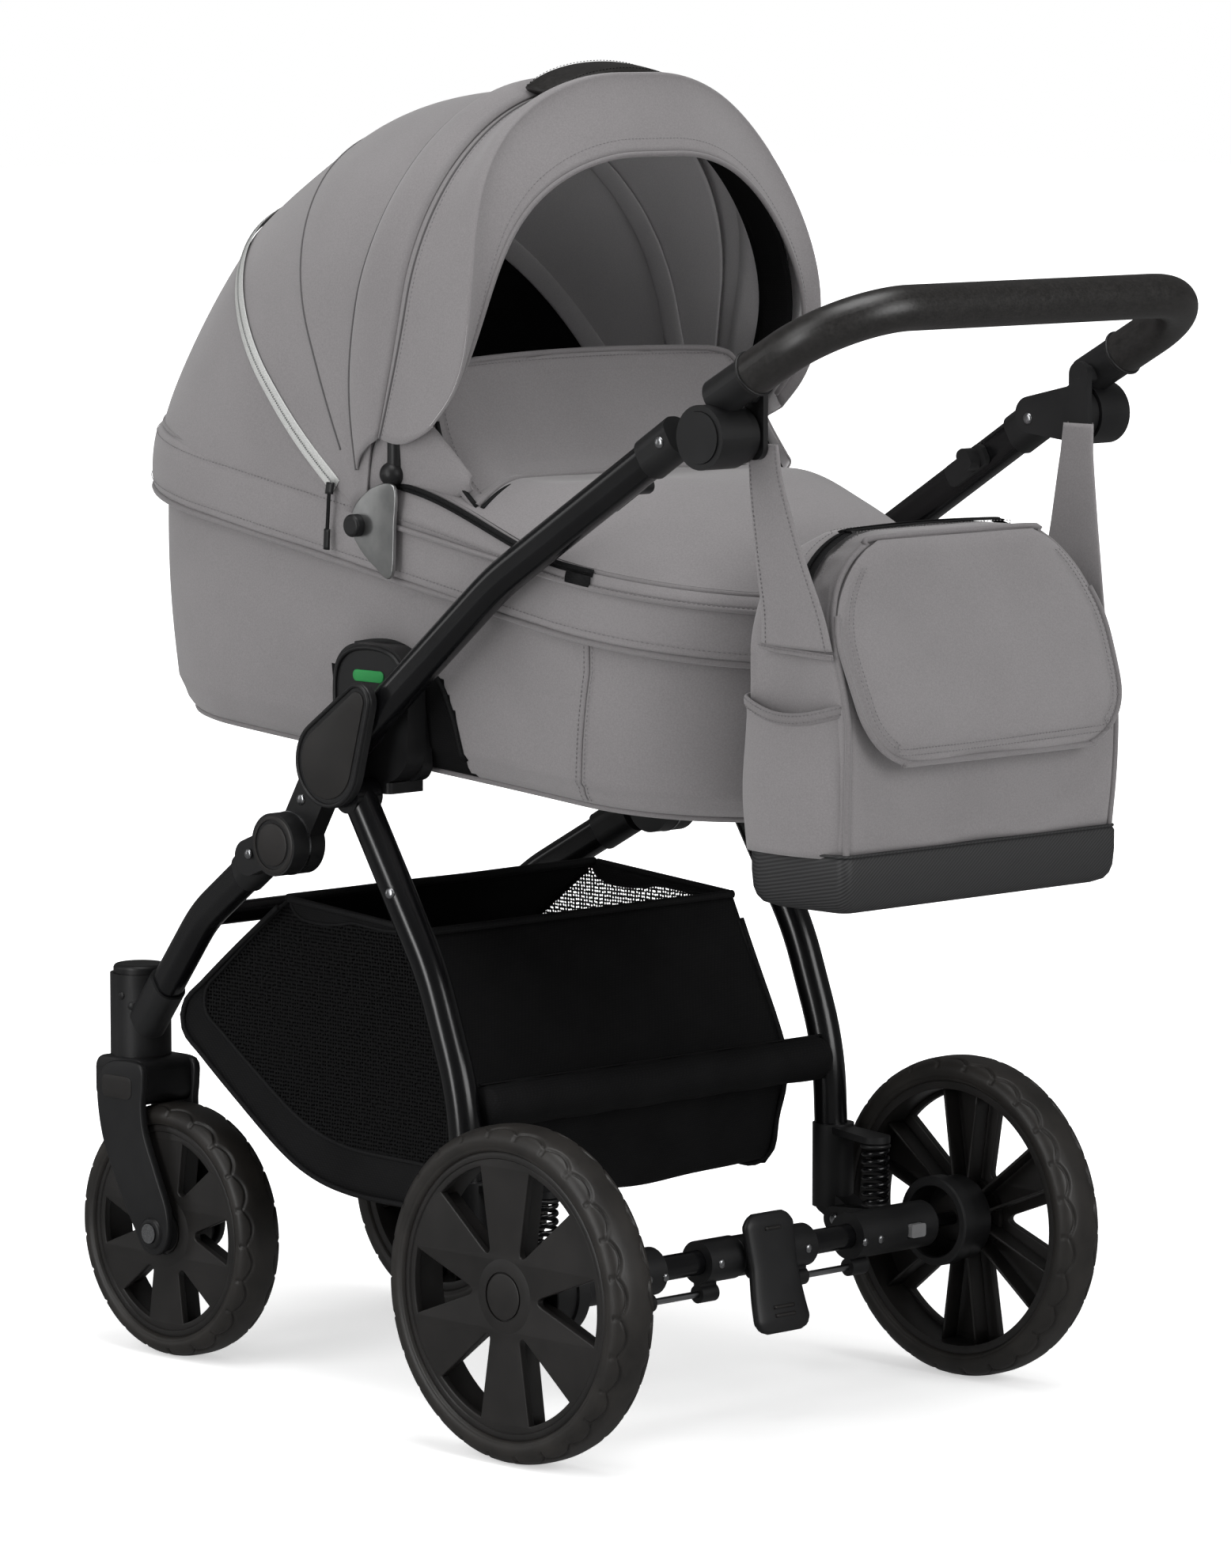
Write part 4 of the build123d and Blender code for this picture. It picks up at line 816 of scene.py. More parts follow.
tape = reflective_tape()
zip_arch = turned(arch(206.9, hood_top(134) + 1.1, 197, 50, ARCH), zip_turn)
outward = zip_arch - HINGE
outward[:, 0] *= 2.0
outward = unit(outward)
zip_tape = carry("hood_zip_tape", zip_arch, flat_section(15, 1.6), tape, up=outward)
zip_teeth = blocks("hood_zip_teeth", [zip_arch + outward * 0.001], 2.4, 1.5, 4.0, 1.6, casting)
PULLER = [(211.5, -141, 815), (213.5, -141, 803), (213.5, -142, 790), (213.0, -144, 772), (213.0, -145, 756)]
pullers = []
for side in (1, -1):
    hang = smooth_line(np.array(PULLER) * (side, 1, 1) * MM, 24)
    pullers.append(carry("hood_zip_puller", hang, flat_section(4.0, 2.4), black_binding, up=(side, 0, 0.05)))
    pullers.append(carry("hood_zip_slider", hang[:5], flat_section(9, 5), nylon, up=(side, 0, 0.05)))
    pullers.append(carry("hood_zip_grip", hang[-8:], flat_section(7, 4), nylon, up=(side, 0, 0.05)))
zip_puller = join("hood_zip_puller", *pullers)

SEAM_ROW = 19
# The seam's cord is dark: painted shade along its crease.
seam_cord = carry("hood_seam", middle_lines[SEAM_ROW][5:-5], round_section(1.1, 6), seam_painted_shade,
                  up=(0.02, 1, 0.3))
bow_tapes = []
for crown, foot in ((104, 103), (131, 138)):
    bow_line = turned(arch(203.5, hood_top(crown) - 9.5, 186, 60, ARCH), along_turn(crown, foot, 2))
    bow_tapes.append(carry("hood_bow_tape", bow_line, flat_section(24, 3.2), lining_painted_light, up=bow_line - HINGE))
print("zip and seams made")

# %% [markdown]
# When the hood folds back, its cloth gathers between the fixed rear edge and the front band. Here the panels
# become three fixed pieces: the middle panel with its seam and the front bow's tape, the back panel with the
# zip, and the inner bow's tape under the zip on its own. The CAD sections they replace are hidden.

# %% Hood pieces
middle_piece = join("hood_middle_cloth", middle_panel, seam_cord, bow_tapes[0])
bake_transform(middle_piece)
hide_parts("hood_middle")
back_piece = join("hood_back_cloth", back_panel, zip_tape, zip_teeth, zip_puller)
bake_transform(back_piece)
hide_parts("hood_back")
inner_bow = join("hood_inner_bow", bow_tapes[1])
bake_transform(inner_bow)
print("hood pieces:", len(middle_piece.data.polygons), len(back_piece.data.polygons), "faces")

# %% [markdown]
# The carry handle is a padded strap over the front band. It stands off the cloth in its middle, so that a
# hand fits under it.

# %% Carry handle
STRAP_TURN, STRAP_RADIUS, STRAP_HALF = math.radians(76.5), 401.0 * MM, 0.082
handle_x = np.linspace(-STRAP_HALF, STRAP_HALF, 33)
lift = 0.005 * (1 - (handle_x / STRAP_HALF) ** 2) - 0.006 * np.abs(handle_x / STRAP_HALF) ** 6
handle_r = STRAP_RADIUS + lift - 0.010 * (np.abs(handle_x) / STRAP_HALF) ** 2
handle_line = np.stack([handle_x, HINGE_Y + handle_r * math.cos(STRAP_TURN),
                        HINGE_Z + handle_r * math.sin(STRAP_TURN)], axis=1)
strap = carry("hood_carry_strap", handle_line, flat_section(40, 8, 0.35), leather, up=(0, 0.17, 0.98))
strap_seams = [handle_line + (0, s * 0.0165, 0.0036 - s * 0.003) for s in (1, -1)]
strap_stitches = blocks("carry_strap_stitches", strap_seams, 4.0, 2.8, 0.8, 0.7, black_binding)
strap = join("hood_carry_strap", strap, strap_stitches)
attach(strap, "hood_front")
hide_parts("carry_handle")
print("carry strap made")

# %% [markdown]
# ## Carrycot
# The carrycot is a tub between two tilted planes: the floor and the rim. Both outlines are rounded
# rectangles, so one ring function with a fixed number of points on each stretch serves every row of the body,
# the rim and the mattress. `on_plane` puts a flat ring on either plane at a height above it.

# %% Rings on the two tilted planes
COT_Y = -100.0
COT_HALF, COT_HALF_LENGTH, COT_CORNER = 203.0, 406.0, 182.0
RIM = {"z": 745.0, "tilt": math.radians(9.4)}
FLOOR = {"z": 566.0, "tilt": math.radians(4.5)}
RIM_HEIGHT = 52.0


def on_plane(plane, x, along, height):
    """World points in metres of a place on a tilted plane, in mm."""
    s, c = math.sin(plane["tilt"]), math.cos(plane["tilt"])
    height = np.broadcast_to(height, np.shape(x))
    y = COT_Y + along * c + height * s
    z = plane["z"] - along * s + height * c
    return np.stack([x, y, z], axis=-1) * MM


def cot_ring(inset, corner):
    """A rounded rectangle from the middle of the foot end round by the left side, as x and length along."""
    a, b = COT_HALF - inset, COT_HALF_LENGTH - inset
    turn = np.linspace(0, math.pi / 2, 24, endpoint=False)
    flat = np.linspace(0, a - corner, 6, endpoint=False)
    side = np.linspace(b - corner, corner - b, 80, endpoint=False)
    foot = [np.stack([flat, np.full(6, b)], 1)]
    foot.append(np.stack([a - corner + corner * np.sin(turn), b - corner + corner * np.cos(turn)], 1))
    sides = np.stack([np.full(80, a), side], 1)
    head = np.vstack(foot)[::-1] * (1, -1)
    left = np.vstack(foot + [sides, head])
    return np.vstack([left, left[::-1] * (-1, 1)])


RING = len(cot_ring(0, COT_CORNER))
print("carrycot ring of", RING, "points")

# %% [markdown]
# The body's rows run from the middle of the floor out to a rounded lower edge and up the walls, which swell
# by a few millimetres because the cloth is padded. The cloth also dents softly: `rumple` adds a few long
# waves with unrelated lengths, which look less regular than one wave. Behind the frame's receivers the body
# has a black panel.

# %% Carrycot body
def rumple(points, size_mm, wave_mm=90.0):
    """A smooth unevenness between -1 and 1 times a size, from the place of each point."""
    p = np.asarray(points) / (wave_mm * MM)
    mix = np.sin(2.1 * p[..., 0] + 1.3 * p[..., 1] + 0.4) + np.sin(1.7 * p[..., 2] - 2.3 * p[..., 1] + 1.9)
    mix = mix + np.sin(2.9 * p[..., 0] - 1.1 * p[..., 2] + 3.1)
    return mix / 3 * size_mm * MM


FLOOR_INSET, TUB_INSET, EDGE_ROUND = 28.0, 12.0, 26.0
FLOOR_CORNER, TUB_CORNER = 150.0, 170.0
UNDERSIDE = 0.86                                       # faces of the floor, at least this flat, are black


def cot_wall(share, swell):
    """The ring at a share of the wall's height."""
    low = cot_ring(FLOOR_INSET - swell, FLOOR_CORNER + swell)
    high = cot_ring(TUB_INSET - swell, TUB_CORNER + swell)
    floor_ring = on_plane(FLOOR, low[:, 0], low[:, 1], 0)
    return floor_ring * (1 - share) + on_plane(RIM, high[:, 0], high[:, 1], -1) * share


def cot_rows():
    rows = []
    for inset in (150, 110, 80):
        ring = cot_ring(inset, max(178 - inset, 20))
        rows.append(on_plane(FLOOR, ring[:, 0], ring[:, 1], 0))
    for phi in np.linspace(0, math.pi / 2, 7)[:-1]:
        drawn_in = EDGE_ROUND * (1 - math.sin(phi))
        ring = cot_ring(FLOOR_INSET + drawn_in, FLOOR_CORNER - drawn_in)
        rows.append(on_plane(FLOOR, ring[:, 0], ring[:, 1], EDGE_ROUND * (1 - math.cos(phi))))
    for share in np.linspace(0.15, 1, 24):
        rows.append(cot_wall(share, 4.0 * math.sin(math.pi * share)))
    rows = np.array(rows)
    centre = np.array([0, COT_Y * MM, 0.66])
    away = rows - centre
    away[..., 2] = 0
    away = unit(away)
    return rows + away * rumple(rows, 2.2)[..., None]


def panel_edge(z):
    """Where the black side panel ends, as a length along Y, for a height."""
    heights, places = np.array([560, 589, 622, 647, 690]) * MM, np.array([-5, -7, -12, -22, -60]) * MM
    return np.interp(z, heights, places)


body_rows = cot_rows()
body = sheet("carrycot_body", body_rows, cloth, black_weave, lining_painted_light, ring=True)
cot_mesh = bmesh.new()
cot_mesh.from_mesh(body.data)
cot_mesh.verts.ensure_lookup_table()
cot_mesh.faces.new(cot_mesh.verts[:RING])
for face in cot_mesh.faces:
    spot = face.calc_center_median()
    behind = abs(spot.x) > 0.12 and -0.165 < spot.y < panel_edge(spot.z) and spot.z < 0.652
    if behind or abs(face.normal.z) > UNDERSIDE:
        face.material_index = 1
cot_mesh.to_mesh(body.data)
cot_mesh.free()
outwards(body)
print("body:", len(body.data.polygons), "faces")

# %% [markdown]
# Seams are drawn on the body by walking up its rows and picking the point of each row at a chosen place along
# Y. A stitched seam divides each side, the black panel has a piped edge, and piping runs round the lower
# edge.

# %% Seams of the body
def up_the_side(rows, side, where):
    """Points up one side of the body; where gives Y in metres for a height."""
    line = []
    for row in rows:
        half = row[np.sign(row[:, 0]) == side]
        half = half[(half[:, 1] > -0.33) & (half[:, 1] < 0.20)]
        half = half[np.argsort(half[:, 1])]
        y = where(half[:, 2].mean())
        line.append([np.interp(y, half[:, 1], half[:, i]) for i in range(3)])
    return np.array(line)


def seam_place(z):
    return np.interp(z, [0.557, 0.702], [0.135, 0.158])


panel_piping, seam_stitches = [], []
for side in (1, -1):
    wall = body_rows[6:]
    edge = up_the_side(wall, side, panel_edge)
    edge = edge[(edge[:, 2] < 0.655) & (edge[:, 2] > 0.574)] + (side * 0.0012, 0, 0)
    panel_piping.append(cord("panel_piping", edge, 2.4, black_binding, up=(side, 0, 0)))
    seam = up_the_side(wall, side, seam_place) + (side * 0.0006, 0, 0)
    panel_piping.append(carry("side_seam", seam, flat_section(2.2, 1.4), cloth_trim, up=(side, 0, 0)))
    for shift in (-0.005, 0.005):
        seam_stitches.append(seam + (side * 0.0006, shift, 0))
body_stitches = blocks("body_stitches", seam_stitches, 4.2, 3.0, 0.9, 0.7, thread)
low_ring = body_rows[5] + (0, 0, -0.001)
low_piping = cord("low_piping", low_ring, 2.6, cloth_trim, closed=True)
thicken(body, 7, inner=2)
body_piece = join("carrycot_cloth", body, low_piping, body_stitches, *panel_piping)
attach(body_piece, "carrycot")
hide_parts("cot_shell")
print("carrycot cloth:", len(body_piece.data.polygons), "faces")

# %% [markdown]
# The rim band is a padded roll round the top of the tub. Its section is a closed loop of insets and heights
# on the rim's plane; carried round the ring, it gets a soft unevenness and a piped lower and upper edge.

# %% Rim band
RIM_SECTION = [(8, -7), (3, -6.5), (-1, -1), (-3, 12), (-3.6, 28), (-2.4, 42), (1.5, 50), (6.5, 53.5),
               (11.5, 52), (14.5, 45), (15.5, 30), (14.5, 12), (12.5, 2), (11, -5)]


def rim_line(inset, height):
    """A closed line round the rim's plane, in metres."""
    ring = cot_ring(inset, COT_CORNER - inset)
    return on_plane(RIM, ring[:, 0], ring[:, 1], height)


rim_rows = []
for inset, height in smooth_line(RIM_SECTION, 36, closed=True):
    row = rim_line(inset, height)
    outside = np.clip((8 - inset) / 8, 0, 1)
    row[:, 0] += np.sign(row[:, 0]) * (rumple(row, 1.4, 60) * outside)
    rim_rows.append(row)
rim_band = outwards(sheet("rim_band_cloth", rim_rows, cloth, ring=True, loop=True))
rim_low = cord("rim_low_piping", rim_line(1.0, -6.5), 2.8, cloth_trim, closed=True)
rim_top = cord("rim_top_piping", rim_line(4.0, 53.0), 2.2, cloth_trim, closed=True)
rim_seams = [rim_line(-3.0, 3.5), rim_line(-2.2, 45)]
rim_seams = [np.vstack([line, line[:1]]) for line in rim_seams]
rim_thread = blocks("rim_stitches", rim_seams, 4.4, 3.0, 0.9, 0.9, thread)
rim_piece = join("rim_band_cloth", rim_band, rim_low, rim_top, rim_thread)
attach(rim_piece, "carrycot")
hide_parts("rim_band")
print("rim band:", len(rim_piece.data.polygons), "faces")

# %% [markdown]
# ## Apron and wind flap
# The apron is a padded cover zipped to the rim. Its surface is a dome: the further a point lies from the
# rim's outline, the higher it stands. Towards the head end its edge is lifted by a gusset, where the zip
# climbs to the hinge.

# %% Apron
def edge_distance(x, along):
    """Distance in mm from a place on the rim's plane in to its outline."""
    qx = np.abs(x) - (COT_HALF - COT_CORNER)
    qy = np.abs(along) - (COT_HALF_LENGTH - COT_CORNER)
    outside = np.hypot(np.clip(qx, 0, None), np.clip(qy, 0, None))
    return COT_CORNER - outside - np.minimum(np.maximum(qx, qy), 0)


def edge_lift(along):
    """How far the gusset lifts the apron's edge over the rim."""
    return 26.0 * ease((235 - along) / 190)


def apron_height(x, along):
    """Height of the dome over the rim's plane: lower and steeper next to the wind flap than at the foot."""
    reach = 60 + 100 * ease((along - 120) / 160)
    rise = 46 + 24 * ease((along - 125) / 120)
    d = np.clip(edge_distance(x, along) / reach, 0, 1)
    lift = edge_lift(along)
    return RIM_HEIGHT + 1.5 + lift + (rise - lift) * np.sin(math.pi / 2 * d) ** 0.9


def half_width(along, inset):
    """Half the width of the rim's outline, drawn in by inset, at a length along."""
    corner = COT_CORNER - inset
    past = np.clip(along - (COT_HALF_LENGTH - COT_CORNER), 0, corner)
    return COT_HALF - COT_CORNER + np.sqrt(corner ** 2 - past ** 2)


across = np.sin(np.linspace(-1, 1, 81) * math.pi / 2)
head_edge = 118 - 104 * np.abs(across) ** 5
apron_rows = []
for v in np.linspace(0, 1, 64):
    along = head_edge + (COT_HALF_LENGTH - 3 - head_edge) * math.sin(v * math.pi / 2)
    x = across * half_width(along, 3)
    row = on_plane(RIM, x, along, apron_height(x, along))
    row[:, 2] += rumple(row, 1.8, 70) * np.clip((1 - np.abs(across)) * 6, 0, 1)
    apron_rows.append(row)
apron_rows = np.array(apron_rows)
apron_sheet = face_along(outwards(sheet("apron_sheet", apron_rows, cloth, lining_painted_light)), (0, 0, 1))
thicken(apron_sheet, 4, inner=1)

APRON_START = 15.0


def edge_line(inset, drop):
    """A line round the apron's edge, from the left hinge by the foot end to the right one."""
    ring = cot_ring(inset, COT_CORNER - inset)
    ring = np.roll(ring, -(RING // 2), axis=0)
    ring = ring[ring[:, 1] > APRON_START]
    height = RIM_HEIGHT + 1.5 + edge_lift(ring[:, 1]) * (1 - drop) - 12 * drop
    return on_plane(RIM, ring[:, 0], ring[:, 1], height)


GUSSET_FOLD = ((3.5, 0.0), (0.5, 0.06), (-2.5, 0.3), (-4.8, 0.65), (-5.4, 1.0))
gusset_rows = [edge_line(inset, drop) for inset, drop in GUSSET_FOLD]
gusset = outwards(sheet("apron_gusset", gusset_rows, cloth, lining_painted_light))
if sum(p.normal.x * p.center.x for p in gusset.data.polygons) < 0:
    gusset.data.flip_normals()
thicken(gusset, 2.4, inner=1)
hem = cord("apron_hem", edge_line(-6.0, 1.0), 2.4, cloth_trim)
apron_seam = cord("apron_seam", edge_line(2.6, 0.0) + (0, 0, 0.0006), 2.0, cloth_trim)
hem_thread = blocks("hem_stitches", [edge_line(-6.9, 0.8)], 4.2, 3.0, 0.9, 0.9, thread)
print("apron:", len(apron_sheet.data.polygons), "faces")

# %% [markdown]
# A dark coil zip runs along the gusset on both sides of the head end, with a flat puller, and a black press
# tab closes the apron further down.

# %% Zips, pullers and tabs
zips = []
for side in (1, -1):
    track = edge_line(1.0, 0.10)
    track = track[(track[:, 0] * side > 0.15) & (track[:, 1] < 0.179)]
    track = track[np.argsort(track[:, 1])] + (side * 0.0028, 0, 0.001)
    zips.append(carry("apron_zip_tape", track, flat_section(7, 1.2), black_binding, up=(side, 0, 0.2)))
    coil = [track + (side * 0.0009, 0, 0)]
    zips.append(blocks("apron_zip_coil", coil, 1.9, 1.0, 3.4, 1.4, black_binding))
    start = track[0] + (side * 0.003, 0.004, 0)
    pull = [start, start + (side * 0.004, 0.006, -0.010), start + (side * 0.003, 0.010, -0.026)]
    zips.append(carry("apron_puller", smooth_line(pull, 10), flat_section(5, 1.8), nylon, up=(side, 0, 0)))
    tab_spot = edge_line(-5.2, 0.62)
    tab_spot = tab_spot[(tab_spot[:, 0] * side > 0) & (tab_spot[:, 1] > 0.142) & (tab_spot[:, 1] < 0.184)]
    tab_spot = tab_spot + (side * 0.002, 0, 0)
    zips.append(carry("apron_tab", tab_spot, flat_section(11, 3.0), black_binding, up=(side, 0, 0)))
apron_parts = [apron_sheet, gusset, hem, apron_seam, hem_thread] + zips
print("zips and tabs:", len(zips))

# %% [markdown]
# The wind flap stands up from the apron's head edge and leans back under the hood. It is a pillow: a front
# and a back sheet that meet at a piped edge. A short cloth simulation fills it with air; only its free middle
# may move. A small wing of cloth on each side stands between the flap and the hood's hinge.

# %% Wind flap
def puff(obj, pressure, pinned, cap_mm, frames=16):
    """Fills a closed cloth piece with air: a short simulation, its seams pinned and its movement capped."""
    scene = bpy.context.scene
    rest = np.array([v.co for v in obj.data.vertices])
    group = obj.vertex_groups.new(name="seam")
    group.add([int(i) for i in pinned], 1.0, "REPLACE")
    air = obj.modifiers.new("air", "CLOTH")
    air.settings.quality = 6
    air.settings.mass = 0.2
    air.settings.tension_stiffness = air.settings.compression_stiffness = 12
    air.settings.bending_stiffness = 1.5
    air.settings.use_pressure = True
    air.settings.uniform_pressure_force = pressure
    air.settings.vertex_group_mass = "seam"
    air.settings.effector_weights.gravity = 0
    air.point_cache.frame_start = 1
    air.point_cache.frame_end = frames
    for step in range(1, frames + 1):
        scene.frame_set(step)
    seen = obj.evaluated_get(bpy.context.evaluated_depsgraph_get())
    moved = np.array([v.co for v in seen.data.vertices]) - rest
    length = np.linalg.norm(moved, axis=1)
    cap = cap_mm * MM
    moved *= (cap * np.tanh(length / cap) / np.maximum(length, 1e-9))[:, None]
    obj.modifiers.clear()
    obj.vertex_groups.clear()
    scene.frame_set(1)
    for vertex, place in zip(obj.data.vertices, rest + moved):
        vertex.co = place
    obj.data.update()
    return obj


FLAP_TOP, FLAP_FOOT, FLAP_FOOT_Y, FLAP_LEAN = 927.0, 806.0, 26.0, 55.0
FLAP_HALF, FLAP_CORNER = 195.0, 52.0
FLAP_UP = (0, 0.88, 0.47)


def flap_point(u, v, puff_mm):
    """A point of the flap; u across from -1 to 1, v up from 0 to 1, puffed out of its middle plane."""
    tall = FLAP_TOP - FLAP_FOOT
    past = np.clip(v * tall - (tall - FLAP_CORNER), 0, FLAP_CORNER)
    half = FLAP_HALF - FLAP_CORNER + np.sqrt(FLAP_CORNER ** 2 - past ** 2)
    x = u * half
    along = (FLAP_FOOT_Y - COT_Y - 12) / math.cos(RIM["tilt"])
    foot_z = on_plane(RIM, x, np.full_like(x, along), apron_height(x, np.full_like(x, along)))[:, 2] / MM - 3
    bow = 8 * (1 - u ** 2) * v
    y = FLAP_FOOT_Y - FLAP_LEAN * (1 - (1 - v) ** 3) - bow + puff_mm * FLAP_UP[1]
    z = foot_z + (FLAP_TOP - 3 * u ** 2 - foot_z) * v + puff_mm * FLAP_UP[2]
    return np.stack([x, y, z], axis=1) * MM


def flap_face(u, heights, puff_mm):
    """Rows of one face of the flap, puffed most in the middle."""
    rows = []
    for v in heights:
        out = puff_mm * (1 - u ** 8) * math.sin(math.pi * v) ** 0.5
        rows.append(flap_point(u, np.full(len(u), v), out))
    return np.array(rows)


def flap_rim(rows):
    """The free edge of a face: up one side, across the top and down the other side."""
    return np.vstack([rows[:, 0], rows[-1, 1:-1], rows[::-1, -1]])


flap_u = np.linspace(-1, 1, 73)
flap_v = np.linspace(0, 1, 27)
flap_front = flap_face(flap_u, flap_v, 4.5)
flap_back = flap_face(flap_u, flap_v, -4.5)
flap_rows = np.concatenate([flap_front, flap_back[::-1][1:-1]])
wind_flap = outwards(sheet("wind_flap", flap_rows, cloth, loop=True))
flap_edge = flap_rim(flap_front)
flap_border = {tuple(np.round(p, 6)) for p in np.vstack([flap_edge, flap_front[0]])}
pinned = [v.index for v in wind_flap.data.vertices if tuple(np.round(v.co, 6)) in flap_border]
puff(wind_flap, 3.0, pinned, 5.0)
flap_piping = cord("flap_piping", smooth_line(flap_edge, 150), 2.6, cloth_trim, up=FLAP_UP)
foot_line = flap_front[0]
flap_foot = cord("flap_foot_piping", foot_line + (0, 0.004, 0.003), 2.6, cloth_trim)
flap_zip = carry("flap_foot_zip", foot_line + (0, 0.009, 0.001), flat_section(5, 2.4), black_binding)
flap_sides = []
for column in (0, -1):
    side_line = flap_front[:16, column] + (0, 0.003, 0.001)
    flap_sides.append(cord("flap_side_binding", side_line, 2.2, black_binding, up=FLAP_UP))
stitch_edge = flap_rim(flap_face(flap_u * 0.945, np.linspace(0.04, 0.93, 40), 6.5))
flap_thread = blocks("flap_stitches", [stitch_edge + (0, 0.0012, 0.0006)], 4.2, 3.0, 0.9, 0.9,
                     thread)
WING_HIGH = [(204, -104, 822), (206, -82, 862), (206, -52, 880), (203, -24, 872), (197, 4, 846),
             (194, 22, 828)]
WING_LOW = [(200, -104, 796), (200, -82, 795), (200, -52, 795), (198, -24, 800), (196, 4, 808),
            (194, 22, 815)]
upper, lower = smooth_line(WING_HIGH, 24), smooth_line(WING_LOW, 24)
wing_rows = []
for v in np.linspace(0, 1, 10):
    wing_rows.append(lower + (upper - lower) * v + (4 * math.sin(math.pi * v), 0, 0))
wings = []
for side in (1, -1):
    wing = outwards(sheet("hood_side_wing", np.array(wing_rows) * (side, 1, 1) * MM, cloth, lining_painted_light))
    wings.append(thicken(face_along(wing, (side, 0, 0)), 2.2, inner=1))
flap_parts = [wind_flap, flap_piping, *flap_sides, flap_foot, flap_zip, flap_thread]
apron_piece = join("apron_cloth", *apron_parts, *wings, *flap_parts)
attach(apron_piece, "carrycot")
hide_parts("apron")
print("apron with wind flap:", len(apron_piece.data.polygons), "faces")

# %% [markdown]
# The mattress is a flat pad with rounded sides and a gentle crown, made of the same rings on the floor's
# plane.

# %% Mattress
PAD_SECTION = [(64, 8), (54, 8.5), (50, 14), (49.5, 24), (51, 32), (56, 37), (66, 39.5), (95, 41.5),
               (130, 42.5), (165, 43)]
pad_rows = []
for inset, height in PAD_SECTION:
    ring = cot_ring(inset, max(178 - inset, 12))
    row = on_plane(FLOOR, ring[:, 0], ring[:, 1], height)
    row[:, 2] += rumple(row, 1.2, 55) * (height > 30)
    pad_rows.append(row)
mattress_pad = outwards(sheet("mattress_pad", pad_rows, bedding, ring=True, caps=True))
pad_ring = cot_ring(50, 128)
pad_edge = on_plane(FLOOR, pad_ring[:, 0], pad_ring[:, 1], 36)
pad_cord = cord("mattress_piping", pad_edge, 2.0, bedding, closed=True)
mattress_piece = join("mattress_pad", mattress_pad, pad_cord)
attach(mattress_piece, "carrycot")
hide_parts("mattress")
print("mattress:", len(mattress_piece.data.polygons), "faces")

# %% [markdown]
# ## Bag on the handle
# The bag is a soft shell between a firm twill base and a zipped top. Its plan is a rounded rectangle with
# crisp piped edges round the rear panel. The front is hollow, because it hangs against the carrycot, and the
# rear panel swells below and leans forward above, so that the bag is thinner at its arched top.

# %% Bag body and base
BAG_FRONT, BAG_BACK, BAG_HALF = 322.0, 440.0, 160.0
BAG_SPLIT, BAG_TOP, BAG_SHOULDER = 530.0, 794.0, 98.0
REAR_CORNER, FRONT_CORNER = 10.0, 18.0
BAG_LEAN, BAG_HOLLOW = 34.0, 14.0
FLAT, TURN = 22, 12
REAR_EDGE = FLAT + TURN // 2


def bag_ring(half, front, back, rear_corner, front_corner, z):
    """A rounded rectangle in plan, from the middle of the rear panel round by the left side."""
    turn = np.linspace(0, math.pi / 2, TURN, endpoint=False)
    rear = np.stack([np.linspace(0, half - rear_corner, FLAT, endpoint=False), np.full(FLAT, back)], 1)
    rear_turn = np.stack([half - rear_corner * (1 - np.sin(turn)),
                          back - rear_corner * (1 - np.cos(turn))], 1)
    side = np.stack([np.full(16, half),
                     np.linspace(back - rear_corner, front + front_corner, 16, endpoint=False)], 1)
    front_turn = np.stack([half - front_corner * (1 - np.cos(turn)),
                           front + front_corner * (1 - np.sin(turn))], 1)
    fore_x = np.linspace(half - front_corner, 0, FLAT)
    fore = np.stack([fore_x, front + BAG_HOLLOW / 2 * (1 + np.cos(math.pi * fore_x / fore_x[0]))], 1)
    left = np.vstack([rear, rear_turn, side, front_turn, fore])
    ring = np.vstack([left, left[1:-1][::-1] * (-1, 1)])
    return np.column_stack([ring, np.full(len(ring), z)]) * MM


def shoulder(z, radius, top):
    """How far a rounded upper edge has drawn in at a height."""
    past = np.clip(z - (top - radius), 0, radius)
    return radius - math.sqrt(radius ** 2 - past ** 2)


def bag_level(z):
    """Half width, front, back and corners of the bag at a height."""
    swell = 5.0 * math.sin(math.pi * np.clip((z - BAG_SPLIT) / (BAG_TOP - BAG_SPLIT), 0, 1)) ** 0.8
    half = BAG_HALF + 4 - shoulder(z, BAG_SHOULDER, BAG_TOP) + 0.6 * swell
    front = BAG_FRONT + 0.7 * shoulder(z, 26, BAG_TOP) - 0.4 * swell
    back = BAG_BACK + swell - BAG_LEAN * ease((z - 625) / 170)
    return half, front, back, REAR_CORNER, FRONT_CORNER


bag_heights = np.concatenate([np.linspace(BAG_SPLIT, 740, 28), np.linspace(746, BAG_TOP - 0.4, 18)])
bag_rows = [bag_ring(*bag_level(z), z) for z in bag_heights]
half, front, back = bag_level(BAG_TOP - 0.4)[:3]
bag_rows.append(bag_ring(half - 10, front + 5, back - 8, 4, 10, BAG_TOP + 0.6))
bag_rows = np.array(bag_rows)
middle = np.array([0, (BAG_FRONT + BAG_BACK) / 2 * MM, 0.64])
away = bag_rows - middle
away[..., 2] = 0
away = unit(away)
bag_rows += away * rumple(bag_rows, 2.2, 55)[..., None]
bag_shell = sheet("bag_shell", bag_rows, cloth, ring=True, caps=True)
row_count, ring_count = bag_rows.shape[:2]
piped = list(range(REAR_EDGE - 4, REAR_EDGE + 5))
piped += [ring_count - k for k in piped]
held = []
for i in range(row_count):
    whole = i < 2 or i > row_count - 4
    held += [i * ring_count + k for k in (range(ring_count) if whole else piped)]
puff(bag_shell, 2.0, held, 6.0)
outwards(bag_shell)
left_edge = bag_rows[:-1, REAR_EDGE] + (0.001, 0.001, 0)
right_edge = bag_rows[:-1, ring_count - REAR_EDGE] + (-0.001, 0.001, 0)
left_edge[0, 2] -= 0.006
right_edge[0, 2] -= 0.006
rear_edge = smooth_line(np.vstack([left_edge[::2], right_edge[::2][::-1]]), 220)
rear_piping = cord("bag_rear_piping", rear_edge, 2.8, cloth_trim, up=(0, 1, 0.01))

